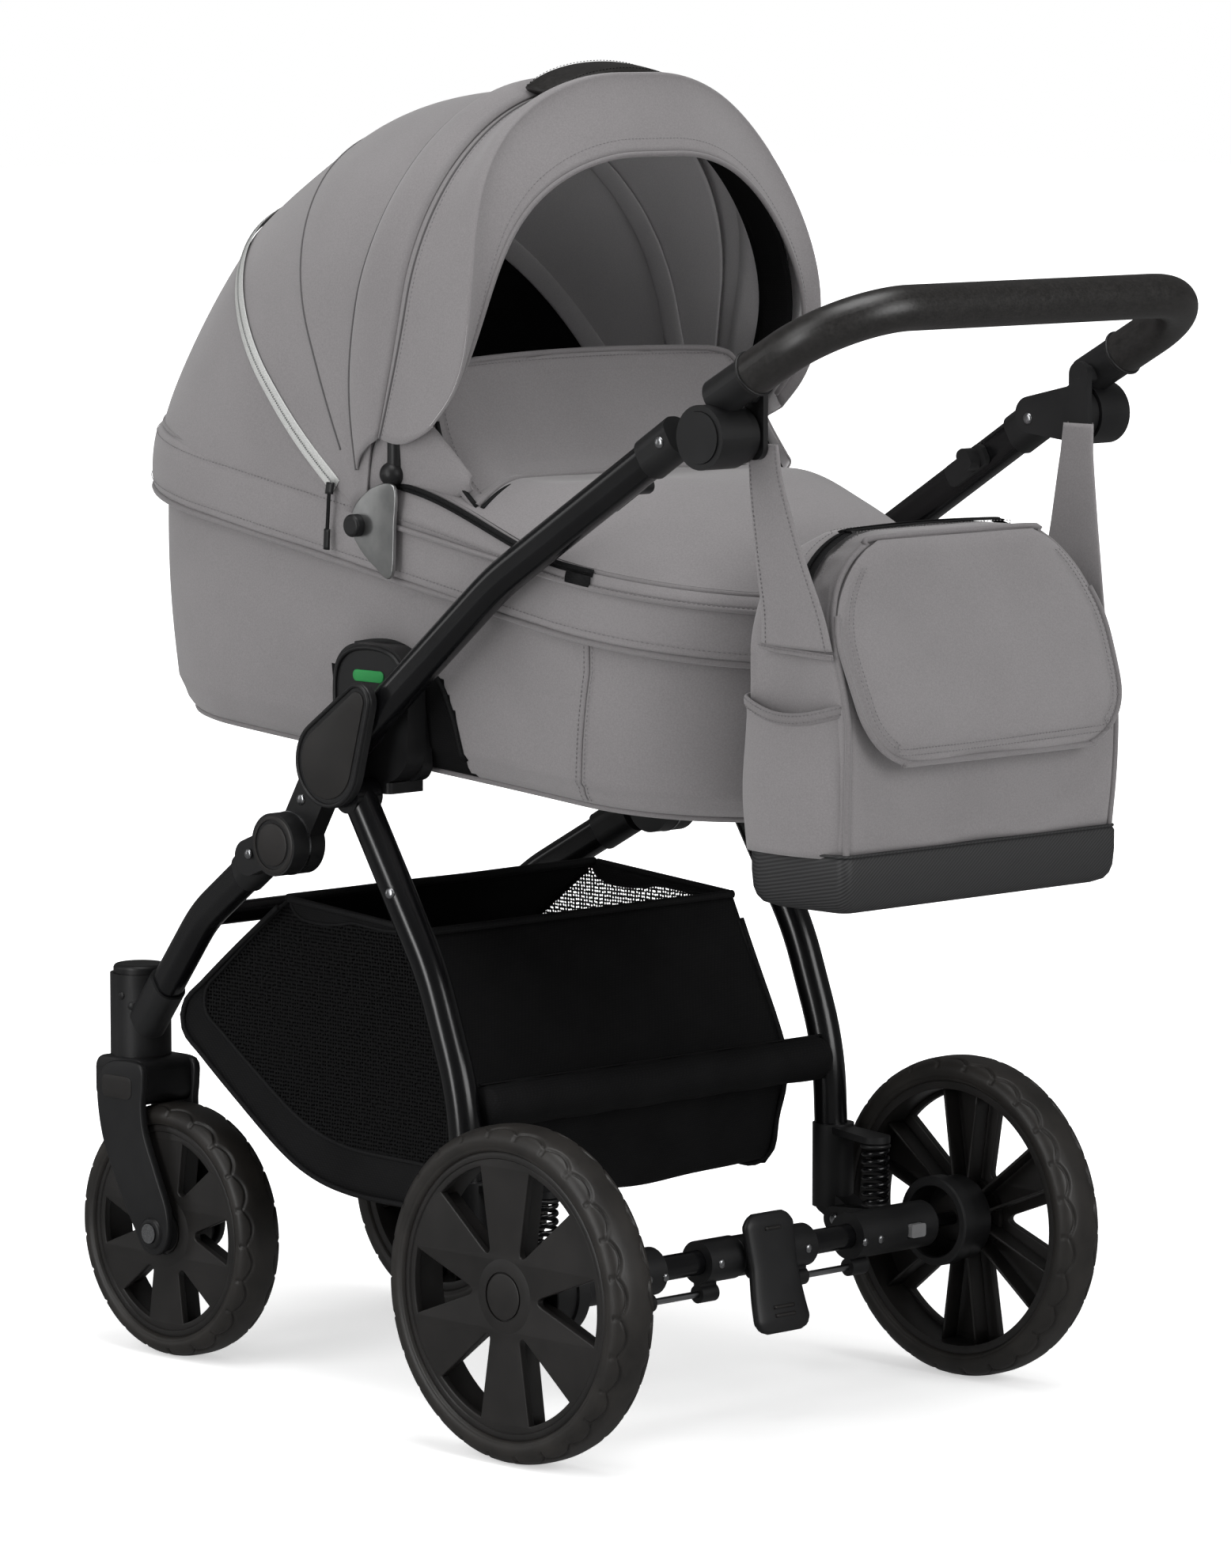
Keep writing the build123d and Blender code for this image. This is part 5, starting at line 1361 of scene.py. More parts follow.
BASE_SECTION = [(24, 482), (12, 483), (5, 486), (1.5, 491), (-0.5, 498), (-1.5, 512), (-1.5, 528), (1, 533),
                (8, 534)]
base_rows = []
for draw, z in BASE_SECTION:
    base_rows.append(bag_ring(BAG_HALF + 8 - draw, BAG_FRONT - 2 + draw, BAG_BACK + 2.5 - draw, 10, 30, z))
bag_base = outwards(sheet("bag_base_twill", base_rows, twill, ring=True, caps=True))
base_edge = bag_ring(BAG_HALF + 8.5, BAG_FRONT - 2.5, BAG_BACK + 3, 10.5, 30.5, 532)
base_cord = cord("bag_base_piping", base_edge, 1.3, twill, closed=True)
base_piece = join("bag_base_twill", bag_base, base_cord)
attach(base_piece, "bag")
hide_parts("bag_base")
print("bag shell:", len(bag_shell.data.polygons), "faces")

# %% [markdown]
# Each side has a pocket that gapes at its top, where an elastic edge sags between the corners. A zip runs
# over the bag's top and down its shoulders.

# %% Side pockets and zip
POCKET_FRONT, POCKET_BACK, POCKET_TOP, POCKET_SAG = 321.0, 440.0, 655.0, 12.0
POCKET_IN = 154
pocket_share = np.linspace(0, 1, 41)
pocket_y = POCKET_FRONT + (POCKET_BACK - POCKET_FRONT) * pocket_share
pocket_out = POCKET_IN + 29 * np.sin(math.pi * pocket_share ** 0.8) ** 0.42
pocket_parts = []
for side in (1, -1):
    rows = []
    for v in np.linspace(0, 1, 20):
        top = POCKET_TOP - POCKET_SAG * np.sin(math.pi * pocket_share)
        z = BAG_SPLIT - 1 + (top - BAG_SPLIT + 1) * v
        bulge = 0.66 + 0.34 * math.sin(math.pi * min(v * 1.1, 1)) + 0.06 * v
        rows.append(np.stack([side * (POCKET_IN + (pocket_out - POCKET_IN) * bulge), pocket_y, z], 1) * MM)
    rows = np.array(rows)
    rows[..., 0] += side * rumple(rows, 1.8, 36)
    panel = face_along(outwards(sheet("bag_pocket", rows, cloth, lining_painted_light)), (side, 0, 0))
    pocket_parts.append(thicken(panel, 2.2, inner=1))
    edge = smooth_line(rows[-1], 40)
    pocket_parts.append(carry("pocket_binding", edge, flat_section(4, 11), cloth_trim, up=(0.1 * side, 0, 1)))
    lines = [edge + (side * 0.0024, 0, drop) for drop in (-0.003, 0.003)]
    pocket_parts.append(blocks("pocket_stitches", lines, 3.8, 2.7, 0.9, 0.8, thread))
zip_z = np.linspace(BAG_TOP - 62, BAG_TOP - 0.6, 26)
zip_half = np.array([bag_level(z)[0] for z in zip_z])
zip_y = np.array([bag_level(z)[2] - 36 for z in zip_z])
zip_left = np.stack([zip_half, zip_y, zip_z], 1)
zip_path = smooth_line(np.vstack([zip_left, zip_left[::-1] * (-1, 1, 1)]) * MM, 90)
zip_out = (zip_path - np.array([0, 0, 0.715])) * (1, 0, 1)
zip_out = unit(zip_out)
zip_tape = carry("bag_zip_tape", zip_path + zip_out * 0.0030, flat_section(15, 1.6), black_binding,
                 up=zip_out)
pocket_parts.append(zip_tape)
pocket_parts.append(blocks("bag_zip_coil", [zip_path + zip_out * 0.0045], 2.2, 1.2, 4.2, 1.6, black_binding))
bag_seams = []
for shift in (-16, 14):
    seam = zip_path + (0, shift * MM, 0) + zip_out * 0.0024
    bag_seams.append(seam[8:-8])
pocket_parts.append(blocks("bag_top_stitches", bag_seams, 4.0, 2.8, 0.9, 0.8, thread))
bag_piece = join("bag_cloth", bag_shell, rear_piping, *pocket_parts)
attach(bag_piece, "bag")
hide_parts("bag_body")
print("bag with pockets:", len(bag_piece.data.polygons), "faces")

# %% [markdown]
# The flap is a padded pillow sewn in at the rear panel's upper piping. It is as wide as the panel there and
# narrows a little below, down to two broad rounded corners. Two rows of stitches follow its bound edge.

# %% Flap
FLAP_LOW, FLAP_WIDE, FLAP_HIGH = 607.0, 725.0, 789.0
FLAP_ROUND, FLAP_TAPER, FLAP_LIFT = 50.0, 12.0, 13.0


def bag_flap_half(z, shrink=0.0):
    """Half the flap's width: the panel's own above, a rounded end below."""
    low = np.clip((FLAP_WIDE - z) / (FLAP_WIDE - FLAP_LOW), 0, 1)
    panel = np.array([bag_level(h)[0] - 2.5 for h in z])
    corner = FLAP_ROUND - shrink
    past = np.clip(FLAP_LOW + FLAP_ROUND - z, 0, corner)
    return panel - FLAP_TAPER * low ** 1.6 - shrink - corner + np.sqrt(corner ** 2 - past ** 2)


def bag_flap_point(u, z, lift, shrink=0.0):
    """A point of the flap over the swollen rear panel."""
    back = np.array([bag_level(h)[2] for h in z])
    x = u * np.maximum(bag_flap_half(z, shrink), 0.5)
    spot = np.stack([x, back, z], -1) * MM
    spot[:, 1] += lift * MM + rumple(spot, 2.2, 55)
    return spot


def flap_open(z):
    """How far the flap stands open at a height, as a share of its lift at the lower edge."""
    return np.clip((FLAP_WIDE + 15 - z) / (FLAP_WIDE + 15 - FLAP_LOW), 0, 1) ** 1.3


flap_across = np.linspace(-1, 1, 61)
flap_z = FLAP_LOW + (FLAP_HIGH - FLAP_LOW) * (1 - np.cos(np.linspace(0, 1, 44) * math.pi / 2))
outer_rows, under_rows = [], []
for z in flap_z:
    open_share = flap_open(z)
    pad = 5.0 * (1 - flap_across ** 10) * np.clip((z - FLAP_LOW) / 18, 0, 1) ** 0.5
    pad = pad * np.clip((FLAP_HIGH - z) / 12, 0, 1) ** 0.5
    outer_rows.append(bag_flap_point(flap_across, np.full(61, z), 1.8 + FLAP_LIFT * open_share + pad))
    under_rows.append(bag_flap_point(flap_across, np.full(61, z),
                                     np.full(61, 0.6 + (FLAP_LIFT - 2) * open_share)))
bag_flap = outwards(sheet("bag_flap", outer_rows + under_rows[::-1], cloth, loop=True))
free = flap_z < FLAP_WIDE + 12
free_rows = np.array(outer_rows)[free]
flap_bound = np.vstack([free_rows[::-1, 0], free_rows[:, -1]]) + (0, 0.0006, 0)
flap_bound = smooth_line(flap_bound[::2], 180)
binding = cord("bag_flap_binding", flap_bound, 2.6, cloth_trim, up=(0, 1, 0.01))
flap_seams = []
for shrink in (8, 13):
    z = np.linspace(FLAP_LOW + shrink, 770, 60)
    lift = 7.2 + FLAP_LIFT * flap_open(z)
    left = bag_flap_point(np.full(60, -1.0), z, lift, shrink)
    right = bag_flap_point(np.full(60, 1.0), z, lift, shrink)
    flap_seams.append(smooth_line(np.vstack([left[::-1], right])[::2], 220))
flap_stitches = blocks("bag_flap_stitches", flap_seams, 3.8, 2.7, 1.0, 1.0, thread)
flap_piece = join("bag_flap_cloth", bag_flap, binding, flap_stitches)
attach(flap_piece, "bag")
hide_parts("bag_flap")
print("flap:", len(flap_piece.data.polygons), "faces")

# %% [markdown]
# Two wide cloth straps run from a seam on the bag's sides up to the clips on the handle. Each is gathered at
# its clip and opens to more than twice that width at the bag, so its section changes along the way.

# %% Bag straps
STRAP = [(193.5, 372, 872), (190, 373, 838), (181, 379, 780), (172, 385, 732), (168.5, 387, 702)]
STRAP_FOOT = [(169.5, 345, 702), (170.5, 365, 700), (170.5, 387, 699), (170.5, 408, 698), (169.5, 429, 697)]
STRAP_THICK = 4.2
path = smooth_line(STRAP, 44)
widths = np.interp(np.linspace(0, 1, 44), [0, 0.14, 0.5, 1], [34, 37, 54, 82])
strap_section = flat_section(1, 1, 0.3, 28) / MM
strap_parts = []
for side in (1, -1):
    rows = []
    for (x, y, z), width in zip(path, widths):
        slope = math.atan2(x - 168, z - 690)
        lean = np.array([math.cos(slope), 0, -math.sin(slope)])
        ring = np.array([x, y, z]) + strap_section[:, :1] * width * np.array([0, 1, 0])
        ring = ring + strap_section[:, 1:] * STRAP_THICK * lean
        ring[:, 0] *= side
        rows.append(ring * MM)
    strap_parts.append(outwards(sheet("bag_strap", rows, cloth, ring=True, caps=True)))
    seams = []
    for edge in (-0.42, 0.42):
        seams.append(np.stack([side * (path[:, 0] + 2.4), path[:, 1] + edge * widths, path[:, 2]], 1) * MM)
    foot = smooth_line(np.array(STRAP_FOOT) * (side, 1, 1) * MM, 30)
    strap_parts.append(carry("strap_seam", foot, flat_section(2.4, 5), cloth_trim, up=(0.05 * side, 0, 1)))
    seams.append(foot + (side * 0.002, 0, 0.001))
    strap_parts.append(blocks("strap_stitches", seams, 3.8, 2.7, 0.9, 0.9, thread))
strap_piece = join("bag_strap_cloth", *strap_parts)
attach(strap_piece, "bag")
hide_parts("bag_straps")
print("straps:", len(strap_piece.data.polygons), "faces")

# %% [markdown]
# ## Basket
# The basket is a hammock of black polyester slung between the frame's front tubes and the roll bar. One sheet
# makes its front, floor and rear wall. Each side is mesh, with a cloth border below and a narrowing cloth
# gusset along its top. The mesh is a real net: round holes in a nearly even pattern are left clear, at 3.4
# mm from hole to hole.

# %% Net
def open_net(pitch_mm, wall):
    made, tree, skin, place = material("polyester_net_black", 0.6, ior=1.48, Specular_IOR_Level=0.2)
    skin.inputs["Base Color"].default_value = linear("#0c0c0d")
    parts = add(tree, "ShaderNodeSeparateXYZ", {"Vector": place}).outputs
    flat = add(tree, "ShaderNodeCombineXYZ", {"X": parts["Y"], "Y": parts["Z"], "Z": 0.0}).outputs["Vector"]
    pattern = {"Vector": flat, "Scale": 1000 / pitch_mm, "Randomness": 0.25}
    cells = add(tree, "ShaderNodeTexVoronoi", pattern, voronoi_dimensions="2D")
    thread_on = add(tree, "ShaderNodeMath", {0: cells.outputs["Distance"], 1: wall}, operation="GREATER_THAN")
    tree.links.new(thread_on.outputs["Value"], skin.inputs["Alpha"])
    return made


net = open_net(3.4, 0.36)
print("net ready:", net.name)

# %% [markdown]
# The hammock sags a little across its width, most in the middle of the floor, and the rear wall bows back.
# The sides are drawn in between their borders, as a net under tension is.

# %% Hammock and net sides
BASKET_HALF, COLUMNS, ACROSS = 190.0, 110, 57
HAMMOCK = [(-224, 439), (-298, 384), (-360, 334), (-371, 318), (-358, 300), (-290, 250), (-215, 202),
           (-150, 184), (-60, 181), (-10, 181), (4, 190), (14, 232), (24, 272), (12, 312), (-16, 368),
           (-44, 425)]
hammock_line = smooth_line(HAMMOCK, COLUMNS)
low_share = np.clip((300 - hammock_line[:, 1]) / 110, 0, 1)
basket_x = np.linspace(-BASKET_HALF, BASKET_HALF, ACROSS)
slack = 1 - (basket_x / BASKET_HALF) ** 2
hammock_rows = []
for (y, z), low in zip(hammock_line, low_share):
    row = np.stack([basket_x, np.full(ACROSS, y), z + 5 * low * (1 - slack) - slack * low], 1) * MM
    row[:, 2] += rumple(row, 2.4, 60) * low * slack
    row[:, 1] += rumple(row, 2.4, 70) * (1 - low) * slack
    hammock_rows.append(row)
hammock_rows = np.array(hammock_rows)
hammock = outwards(sheet("basket_hammock", hammock_rows, black_weave))
thicken(hammock, 1.6)
top_line = np.linspace(HAMMOCK[0], HAMMOCK[-1], COLUMNS)
basket_parts = [hammock]
GUSSET, HEM, GUSSET_END = 0.80, 0.97, 52
BORDER_ROW, GUSSET_ROW = 4, 25
gusset_edge = np.clip(GUSSET + (HEM - GUSSET) * np.arange(COLUMNS) / GUSSET_END, 0, HEM)
levels = np.vstack([np.outer(np.linspace(0, 1, GUSSET_ROW + 1), gusset_edge),
                    gusset_edge + np.outer(np.linspace(0.2, 1, 5), 1 - gusset_edge)])
for side in (1, -1):
    rows = []
    for t in levels:
        edge = hammock_line * (1 - t[:, None]) + top_line * t[:, None]
        drawn = np.clip(np.sin(math.pi * t), 0, 1)
        row = np.column_stack([side * (BASKET_HALF - 6 * drawn ** 0.7), edge]) * MM
        row[:, 0] += rumple(row, 2.0, 80) * drawn
        rows.append(row)
    wall = sheet("basket_side", rows, net, black_weave)
    for polygon in wall.data.polygons:
        clear = BORDER_ROW <= polygon.index // (COLUMNS - 1) < GUSSET_ROW
        polygon.material_index = 0 if clear else 1
    outwards(wall)
    basket_parts.append(thicken(wall, 1.2))
    rows = np.array(rows)
    for level, r in ((0, 2.6), (BORDER_ROW, 2.0), (GUSSET_ROW, 1.6), (-1, 3.2)):
        border = rows[level][2:-2] + (side * 0.001, 0, 0)
        border = smooth_line(border[::4], 90)
        basket_parts.append(cord("basket_binding", border, r, black_binding, up=(1, 0.02, 0.01)))
for row in (hammock_rows[0], hammock_rows[-1]):
    basket_parts.append(cord("basket_edge", row, 4.0, black_binding))
basket_piece = join("basket_cloth", *basket_parts)
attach(basket_piece, "rear_frame")
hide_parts("basket")
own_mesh(basket_piece)
print("basket:", len(basket_piece.data.polygons), "faces")

# %% [markdown]
# The roll bar between the rear legs wears a padded sleeve of the same cloth, sewn shut along its top.

# %% Roll bar cover
ROLL_HALF, ROLL_Y, ROLL_Z = 0.2105, 0.047, 0.283
roll_x = np.linspace(-ROLL_HALF, ROLL_HALF, 61)
roll_rows = []
for x in roll_x:
    end = np.clip((ROLL_HALF - abs(x)) / 0.006, 0, 1) ** 0.5
    swell = (17.5 + 2.3 * end + 0.5 * math.sin(x * 90)) * MM
    a = whole_turn(40)
    roll_rows.append(np.stack([np.full(40, x), ROLL_Y + swell * np.cos(a), ROLL_Z + swell * np.sin(a)], 1))
roll_cover = outwards(sheet("roll_bar_cover", roll_rows, black_weave, ring=True, caps=True))
seam_line = np.stack([roll_x, np.full(61, ROLL_Y), np.full(61, ROLL_Z + 0.0202)], 1)
roll_seam = carry("roll_bar_seam", seam_line, flat_section(4, 1.2), black_binding)
roll_piece = join("roll_bar_cover", roll_cover, roll_seam)
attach(roll_piece, "rear_frame")
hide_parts("roll_bar")
print("roll bar cover:", len(roll_piece.data.polygons), "faces")

# %% [markdown]
# ## Wheels
# A tyre is its section carried round the axle. The tread is cut into it: a point near a groove's line is
# pushed in by up to 2.7 mm. A row of scallops runs along each shoulder, and a short cut joins each cusp to the
# sidewall.

# %% Tyres
def lathe(name, section, x, y, z, finish, count, sign=1):
    """Turns a closed section of (x, radius) points in mm about an axle along X; sign -1 mirrors it."""
    a = whole_turn(count)
    rows = []
    for px, r in section:
        rows.append(np.stack([np.full(count, x + sign * px), y + r * np.cos(a), z + r * np.sin(a)], 1) * MM)
    made = outwards(sheet(name, rows, finish, ring=True, loop=True))
    made.data.set_sharp_from_angle(angle=math.radians(38))
    return made


SCALLOP_MM, GROOVE_MM, GROOVE_WIDTH = 35.0, 2.7, 1.15


def tyre(name, x, y, wheel_r, rim_r):
    height = wheel_r - rim_r
    shape = [(-17, rim_r + 0.5), (-21.5, rim_r + 3), (-23.8, rim_r + 0.40 * height),
             (-22.6, rim_r + 0.66 * height), (-18, wheel_r - 2.8), (-10, wheel_r - 0.5), (0, wheel_r)]
    shape += [(-px, r) for px, r in shape[-2::-1]]
    section = smooth_line(shape, 104)
    count = 432
    a = whole_turn(count)
    scallops = round(2 * math.pi * wheel_r / SCALLOP_MM)
    phase = np.sin(scallops * a / 2)
    cusp_distance = np.abs(np.arcsin(phase)) * 2 / scallops * wheel_r
    rows = []
    for px, r in section:
        depth = np.abs(px) + 0.9 * max(wheel_r - r - 2.8, 0)
        wave = 21.5 - 8.5 * np.abs(phase) ** 0.75
        groove = np.exp(-((depth - wave) / GROOVE_WIDTH) ** 2)
        cut = np.exp(-(cusp_distance / GROOVE_WIDTH) ** 2) * ease((depth - 20) / 2) * ease((30 - depth) / 2)
        groove = np.maximum(groove, cut) * GROOVE_MM * (r > rim_r + 0.3 * height)
        groove = groove + 0.9 * np.exp(-((r - rim_r - 0.22 * height) / 0.8) ** 2)
        turned_out = np.clip((np.abs(px) - 12) / 12, 0, 1)
        dr = -groove * (1 - 0.6 * turned_out)
        dx = -np.sign(px) * groove * 0.7 * turned_out
        rows.append(np.stack([x + px + dx, y + (r + dr) * np.cos(a), wheel_r + (r + dr) * np.sin(a)], 1) * MM)
    return outwards(sheet(name, rows, rubber, ring=True, loop=True))


print("tyre maker ready")

# %% [markdown]
# A rim is a barrel with a flat spoked face near its outer edge. The face starts as a flat outline with six
# windows between fan-shaped spokes; Blender fills it, gives it depth and rounds its edges. `soften` cuts the
# corners of a window a few times, which rounds them.

# %% Rims
def soften(points):
    p = np.asarray(points, float)
    for _ in range(3):
        after = np.roll(p, -1, axis=0)
        p = np.stack([0.75 * p + 0.25 * after, 0.25 * p + 0.75 * after], 1).reshape(-1, 2)
    return p


def spoke_windows(barrel_in, spoke_hub, spoke_rim):
    """The outlines of the six windows, in mm about the axle."""
    windows = []
    inner, outer = 29.0, barrel_in - 3.0
    for k in range(6):
        left, right = math.radians(90 + 60 * k), math.radians(150 + 60 * k)
        points = []
        for angle, side in ((left, 1), (right, -1)):
            edge = []
            for r in np.linspace(inner + 7, outer - 4, 7):
                half = spoke_hub / 2 + (spoke_rim - spoke_hub) / 2 * (r - 10) / (barrel_in - 10)
                edge.append((r * math.cos(angle) - side * half * math.sin(angle),
                             r * math.sin(angle) + side * half * math.cos(angle)))
            points.append(edge)
        turn = [math.atan2(e[-1][1], e[-1][0]) for e in points]
        if turn[1] < turn[0]:
            turn[1] += 2 * math.pi
        arc = [(outer * math.cos(t), outer * math.sin(t)) for t in np.linspace(turn[0], turn[1], 9)]
        windows.append(soften(points[0] + arc + points[1][::-1]))
    return windows


def moulding(name, outlines, x, thick, finish, edge=1.2):
    """Fills flat outlines of (y, z) points in mm, gives them depth along X about x and rounds their edges."""
    drawn = bpy.data.curves.new(name, "CURVE")
    drawn.dimensions = "2D"
    drawn.fill_mode = "BOTH"
    drawn.extrude = thick / 2 - edge
    drawn.bevel_depth = edge
    drawn.bevel_resolution = 2
    for points in outlines:
        spline = drawn.splines.new("POLY")
        spline.points.add(len(points) - 1)
        spline.use_cyclic_u = True
        for point, (py, pz) in zip(spline.points, points):
            point.co = (py, pz, 0, 1)
    flat = shown(name, drawn)
    seen = flat.evaluated_get(bpy.context.evaluated_depsgraph_get())
    mesh = bpy.data.meshes.new_from_object(seen)
    bpy.data.objects.remove(flat)
    for v in mesh.vertices:
        py, pz, depth = v.co
        v.co = ((x + depth) * MM, py * MM, pz * MM)
    mesh.materials.clear()
    mesh.materials.append(finish)
    made = shown(name, mesh)
    outwards(made)
    mesh.shade_smooth()
    mesh.set_sharp_from_angle(angle=math.radians(35))
    return made


def circle(y, z, r):
    a = whole_turn(96)
    return np.stack([y + r * np.cos(a), z + r * np.sin(a)], 1)


HUB_CAP_R, HUB_OUT, FACE_OUT, FACE_THICK, BOLT_BORE = 20.0, 20.8, 18.6, 7.0, 6.2


def rim(name, x, y, wheel_r, rim_r, sign, rear):
    """Barrel, spoked face, hub with a flush cap, ribs behind the spokes and, at the rear, a brake drum."""
    barrel_in = rim_r - 6
    edge = 19.0
    barrel = [(-edge, rim_r + 1.2), (1.5 - edge, rim_r + 2.4), (edge - 1.5, rim_r + 2.4), (edge, rim_r + 1.2),
              (edge + 0.8, rim_r - 2), (edge + 0.6, rim_r - 4), (edge - 1.4, barrel_in + 0.4),
              (edge - 3, barrel_in), (3 - edge, barrel_in), (0.6 - edge, barrel_in + 0.4),
              (-edge - 0.4, rim_r - 2)]
    spread = 60 * rim_r / 122
    face_x = x + sign * (FACE_OUT - FACE_THICK / 2)
    windows = [w + (y, wheel_r) for w in spoke_windows(barrel_in, 25, spread)]
    face = [circle(y, wheel_r, barrel_in + 0.5)] + windows
    parts = [lathe(name + "_barrel", barrel, x, y, wheel_r, rim_nylon, 120, sign),
             moulding(name + "_face", face, face_x, FACE_THICK, rim_nylon)]
    cap = [(HUB_OUT, HUB_CAP_R - 1.6), (HUB_OUT - 0.5, HUB_CAP_R - 0.4), (6, HUB_CAP_R)]
    if rear:
        cap = [(HUB_OUT - 0.7, 0.3), (HUB_OUT, 0.3)] + cap + [(6, 6.3), (HUB_OUT - 0.7, 6.3)]
    else:
        cap = [(6, BOLT_BORE), (HUB_OUT, BOLT_BORE)] + cap
    step = [(6, HUB_CAP_R + 1.4), (HUB_OUT - 0.4, HUB_CAP_R + 1.4), (HUB_OUT - 0.6, HUB_CAP_R + 4),
            (FACE_OUT + 0.9, HUB_CAP_R + 9), (FACE_OUT - 0.6, HUB_CAP_R + 14), (6, HUB_CAP_R + 14)]
    hub = [(7, BOLT_BORE), (7, 24), (-14, 23), (-19, 21.5), (-20, 20), (-20, BOLT_BORE), (-18, BOLT_BORE)]
    for label, shape in (("cap", cap), ("step", step), ("hub", hub)):
        parts.append(lathe(f"{name}_{label}", shape, x, y, wheel_r, rim_nylon, 64, sign))
    for k in range(6):
        angle = math.radians(90 + 60 * k)
        out = np.array([0, math.cos(angle), math.sin(angle)])
        cross = np.array([0, -math.sin(angle), math.cos(angle)])
        for shift in (-1, 1):
            near = np.array([x - sign, y, wheel_r]) + out * 20 + cross * shift * 7
            far = np.array([x - sign, y, wheel_r]) + out * (barrel_in - 1) + cross * shift * spread * 0.34
            rib = np.linspace(near, far, 8) * MM
            parts.append(carry(name + "_rib", rib, flat_section(18, 3, 0.2), rim_nylon, up=cross))
    if rear:
        drum = [(8, 37), (9, 38), (30, 38), (31, 40.5), (44, 40.5), (45.8, 39), (46, 33.5), (45, 32.2),
                (16, 32), (15, BOLT_BORE), (9, BOLT_BORE)]
        parts.append(lathe(name + "_drum", drum, x, y, wheel_r, nylon, 72, -sign))
    else:
        spacer = [(20.2, BOLT_BORE), (27.2, BOLT_BORE), (27.2, 15), (25.5, 17.5), (20.2, 18.5)]
        for out in (sign, -sign):
            parts.append(lathe(name + "_spacer", spacer, x, y, wheel_r, nylon, 48, out))
    return join(name, *parts)


# end, place of the axle as x and y, and radius of the wheel and of its rim, in mm
WHEELS = (("rear", 277.5, 168.0, 145.0, 122.0), ("front", 169.0, -397.0, 116.3, 96.0))
for side, sign in (("left", 1), ("right", -1)):
    for end, x, y, wheel_r, rim_r in WHEELS:
        body = f"{end}_wheel_{side}"
        rim_piece = rim(f"{end}_rim_{side}_moulding", sign * x, y, wheel_r, rim_r, sign, end == "rear")
        tyre_piece = tyre(f"{end}_tyre_{side}_tread", sign * x, y, wheel_r, rim_r)
        for piece, node, slot in ((rim_piece, f"{end}_rim_{side}", "rim_plastic"),
                                  (tyre_piece, f"{end}_tyre_{side}", "tyre")):
            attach(piece, body)
            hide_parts(node)
print("wheels:", len(rim_piece.data.polygons), "faces in a rim,", len(tyre_piece.data.polygons), "in a tyre")

# %% [markdown]
# ## Mouldings of the chassis
# The fork is a crown block with a blade on each side of the wheel. A blade is one flat outline: a broad
# rounded top that curves down to the hub. It carries a shallow rounded panel and a black ring round the
# bolt's head.

# %% Forks
WHEEL_X, SWIVEL_Y, FRONT_AXLE = 169.0, -451.0, (-397.0, 116.3)
BLADE_IN, BLADE_OUT = 27.5, 35.5
BLADE = [(-414, 267), (-411, 250), (-413, 230), (-409, 205), (-393, 170), (-378, 137), (-378, 112),
         (-390, 99), (-407, 101), (-417, 114), (-437, 145), (-459, 186), (-468, 214), (-471, 244),
         (-463, 261), (-446, 268)]


def rounded_box(y, z, width, height, corner):
    """A rounded rectangle of (y, z) points in mm."""
    turn = np.linspace(0, math.pi / 2, 8)
    quarter = np.stack([width / 2 - corner * (1 - np.cos(turn)), height / 2 - corner * (1 - np.sin(turn))], 1)
    half = np.vstack([quarter, quarter[::-1] * (-1, 1)])
    return np.vstack([half, half * (-1, -1)]) + (y, z)


blade_outline = smooth_line(BLADE, 96, closed=True)
for side, sign in (("left", 1), ("right", -1)):
    fork_x = sign * WHEEL_X
    crown = rounded_box(SWIVEL_Y + 4, 251, 62, 37, 9)
    parts = [moulding("fork_crown", [crown], fork_x, 2 * BLADE_IN + 6, nylon, 3.0)]
    for out in (1, -1):
        middle_x = fork_x + out * (BLADE_IN + BLADE_OUT) / 2
        parts.append(moulding("fork_blade", [blade_outline], middle_x, BLADE_OUT - BLADE_IN, nylon, 2.2))
        panel = rounded_box(-444, 246, 40, 20, 6)
        parts.append(moulding("blade_panel", [panel], fork_x + out * BLADE_OUT, 1.6, rim_nylon, 0.5))
        ring = [(35.3, 9.4), (38.2, 9.4), (38.4, 12.0), (37.4, 13.6), (35.3, 14.4)]
        parts.append(lathe("bolt_ring", ring, fork_x, *FRONT_AXLE, nylon, 48, out))
    fork_piece = join(f"fork_{side}_moulding", *parts)
    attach(fork_piece, f"fork_{side}")
    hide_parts(f"fork_{side}")
print("forks:", len(fork_piece.data.polygons), "faces each")

# %% [markdown]
# The suspension springs are real coils: a round wire along a helix, between two seats. They shorten from
# below when the axle swings up; here each is one rigid piece that moves with the rear frame.

# %% Springs
SPRING_X, SPRING_Y, SPRING_LOW, SPRING_TOP, COILS = 206.0, 122.0, 156.0, 214.0, 6.5
coils = []
for side in (1, -1):
    t = np.linspace(0, 1, 200)
    turn = 2 * math.pi * COILS * t
    height = SPRING_LOW + 5 + (SPRING_TOP - SPRING_LOW - 11) * t
    helix = np.stack([side * SPRING_X + 10.8 * np.cos(turn), SPRING_Y + 10.8 * np.sin(turn), height], 1) * MM
    coils.append(cord("spring_wire", helix, 2.4, coat))
    for z, r in ((SPRING_LOW + 2.2, 9.5), (SPRING_TOP - 2.8, 10.5)):
        a = whole_turn(32)
        seat = np.stack([side * SPRING_X + r * np.cos(a), SPRING_Y + r * np.sin(a), np.full(32, z)], 1) * MM
        coils.append(carry("spring_seat", seat, flat_section(7, 4.4), nylon, closed=True))
spring_piece = join("spring_coils", *coils)
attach(spring_piece, "rear_frame")
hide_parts("springs")
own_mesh(spring_piece)
print("springs:", len(spring_piece.data.polygons), "faces")

# %% [markdown]
# The brake pedal is a thick S-shaped plate, wider at its foot, on a boss that turns on the axle. Two raised
# bars mark where the foot presses.

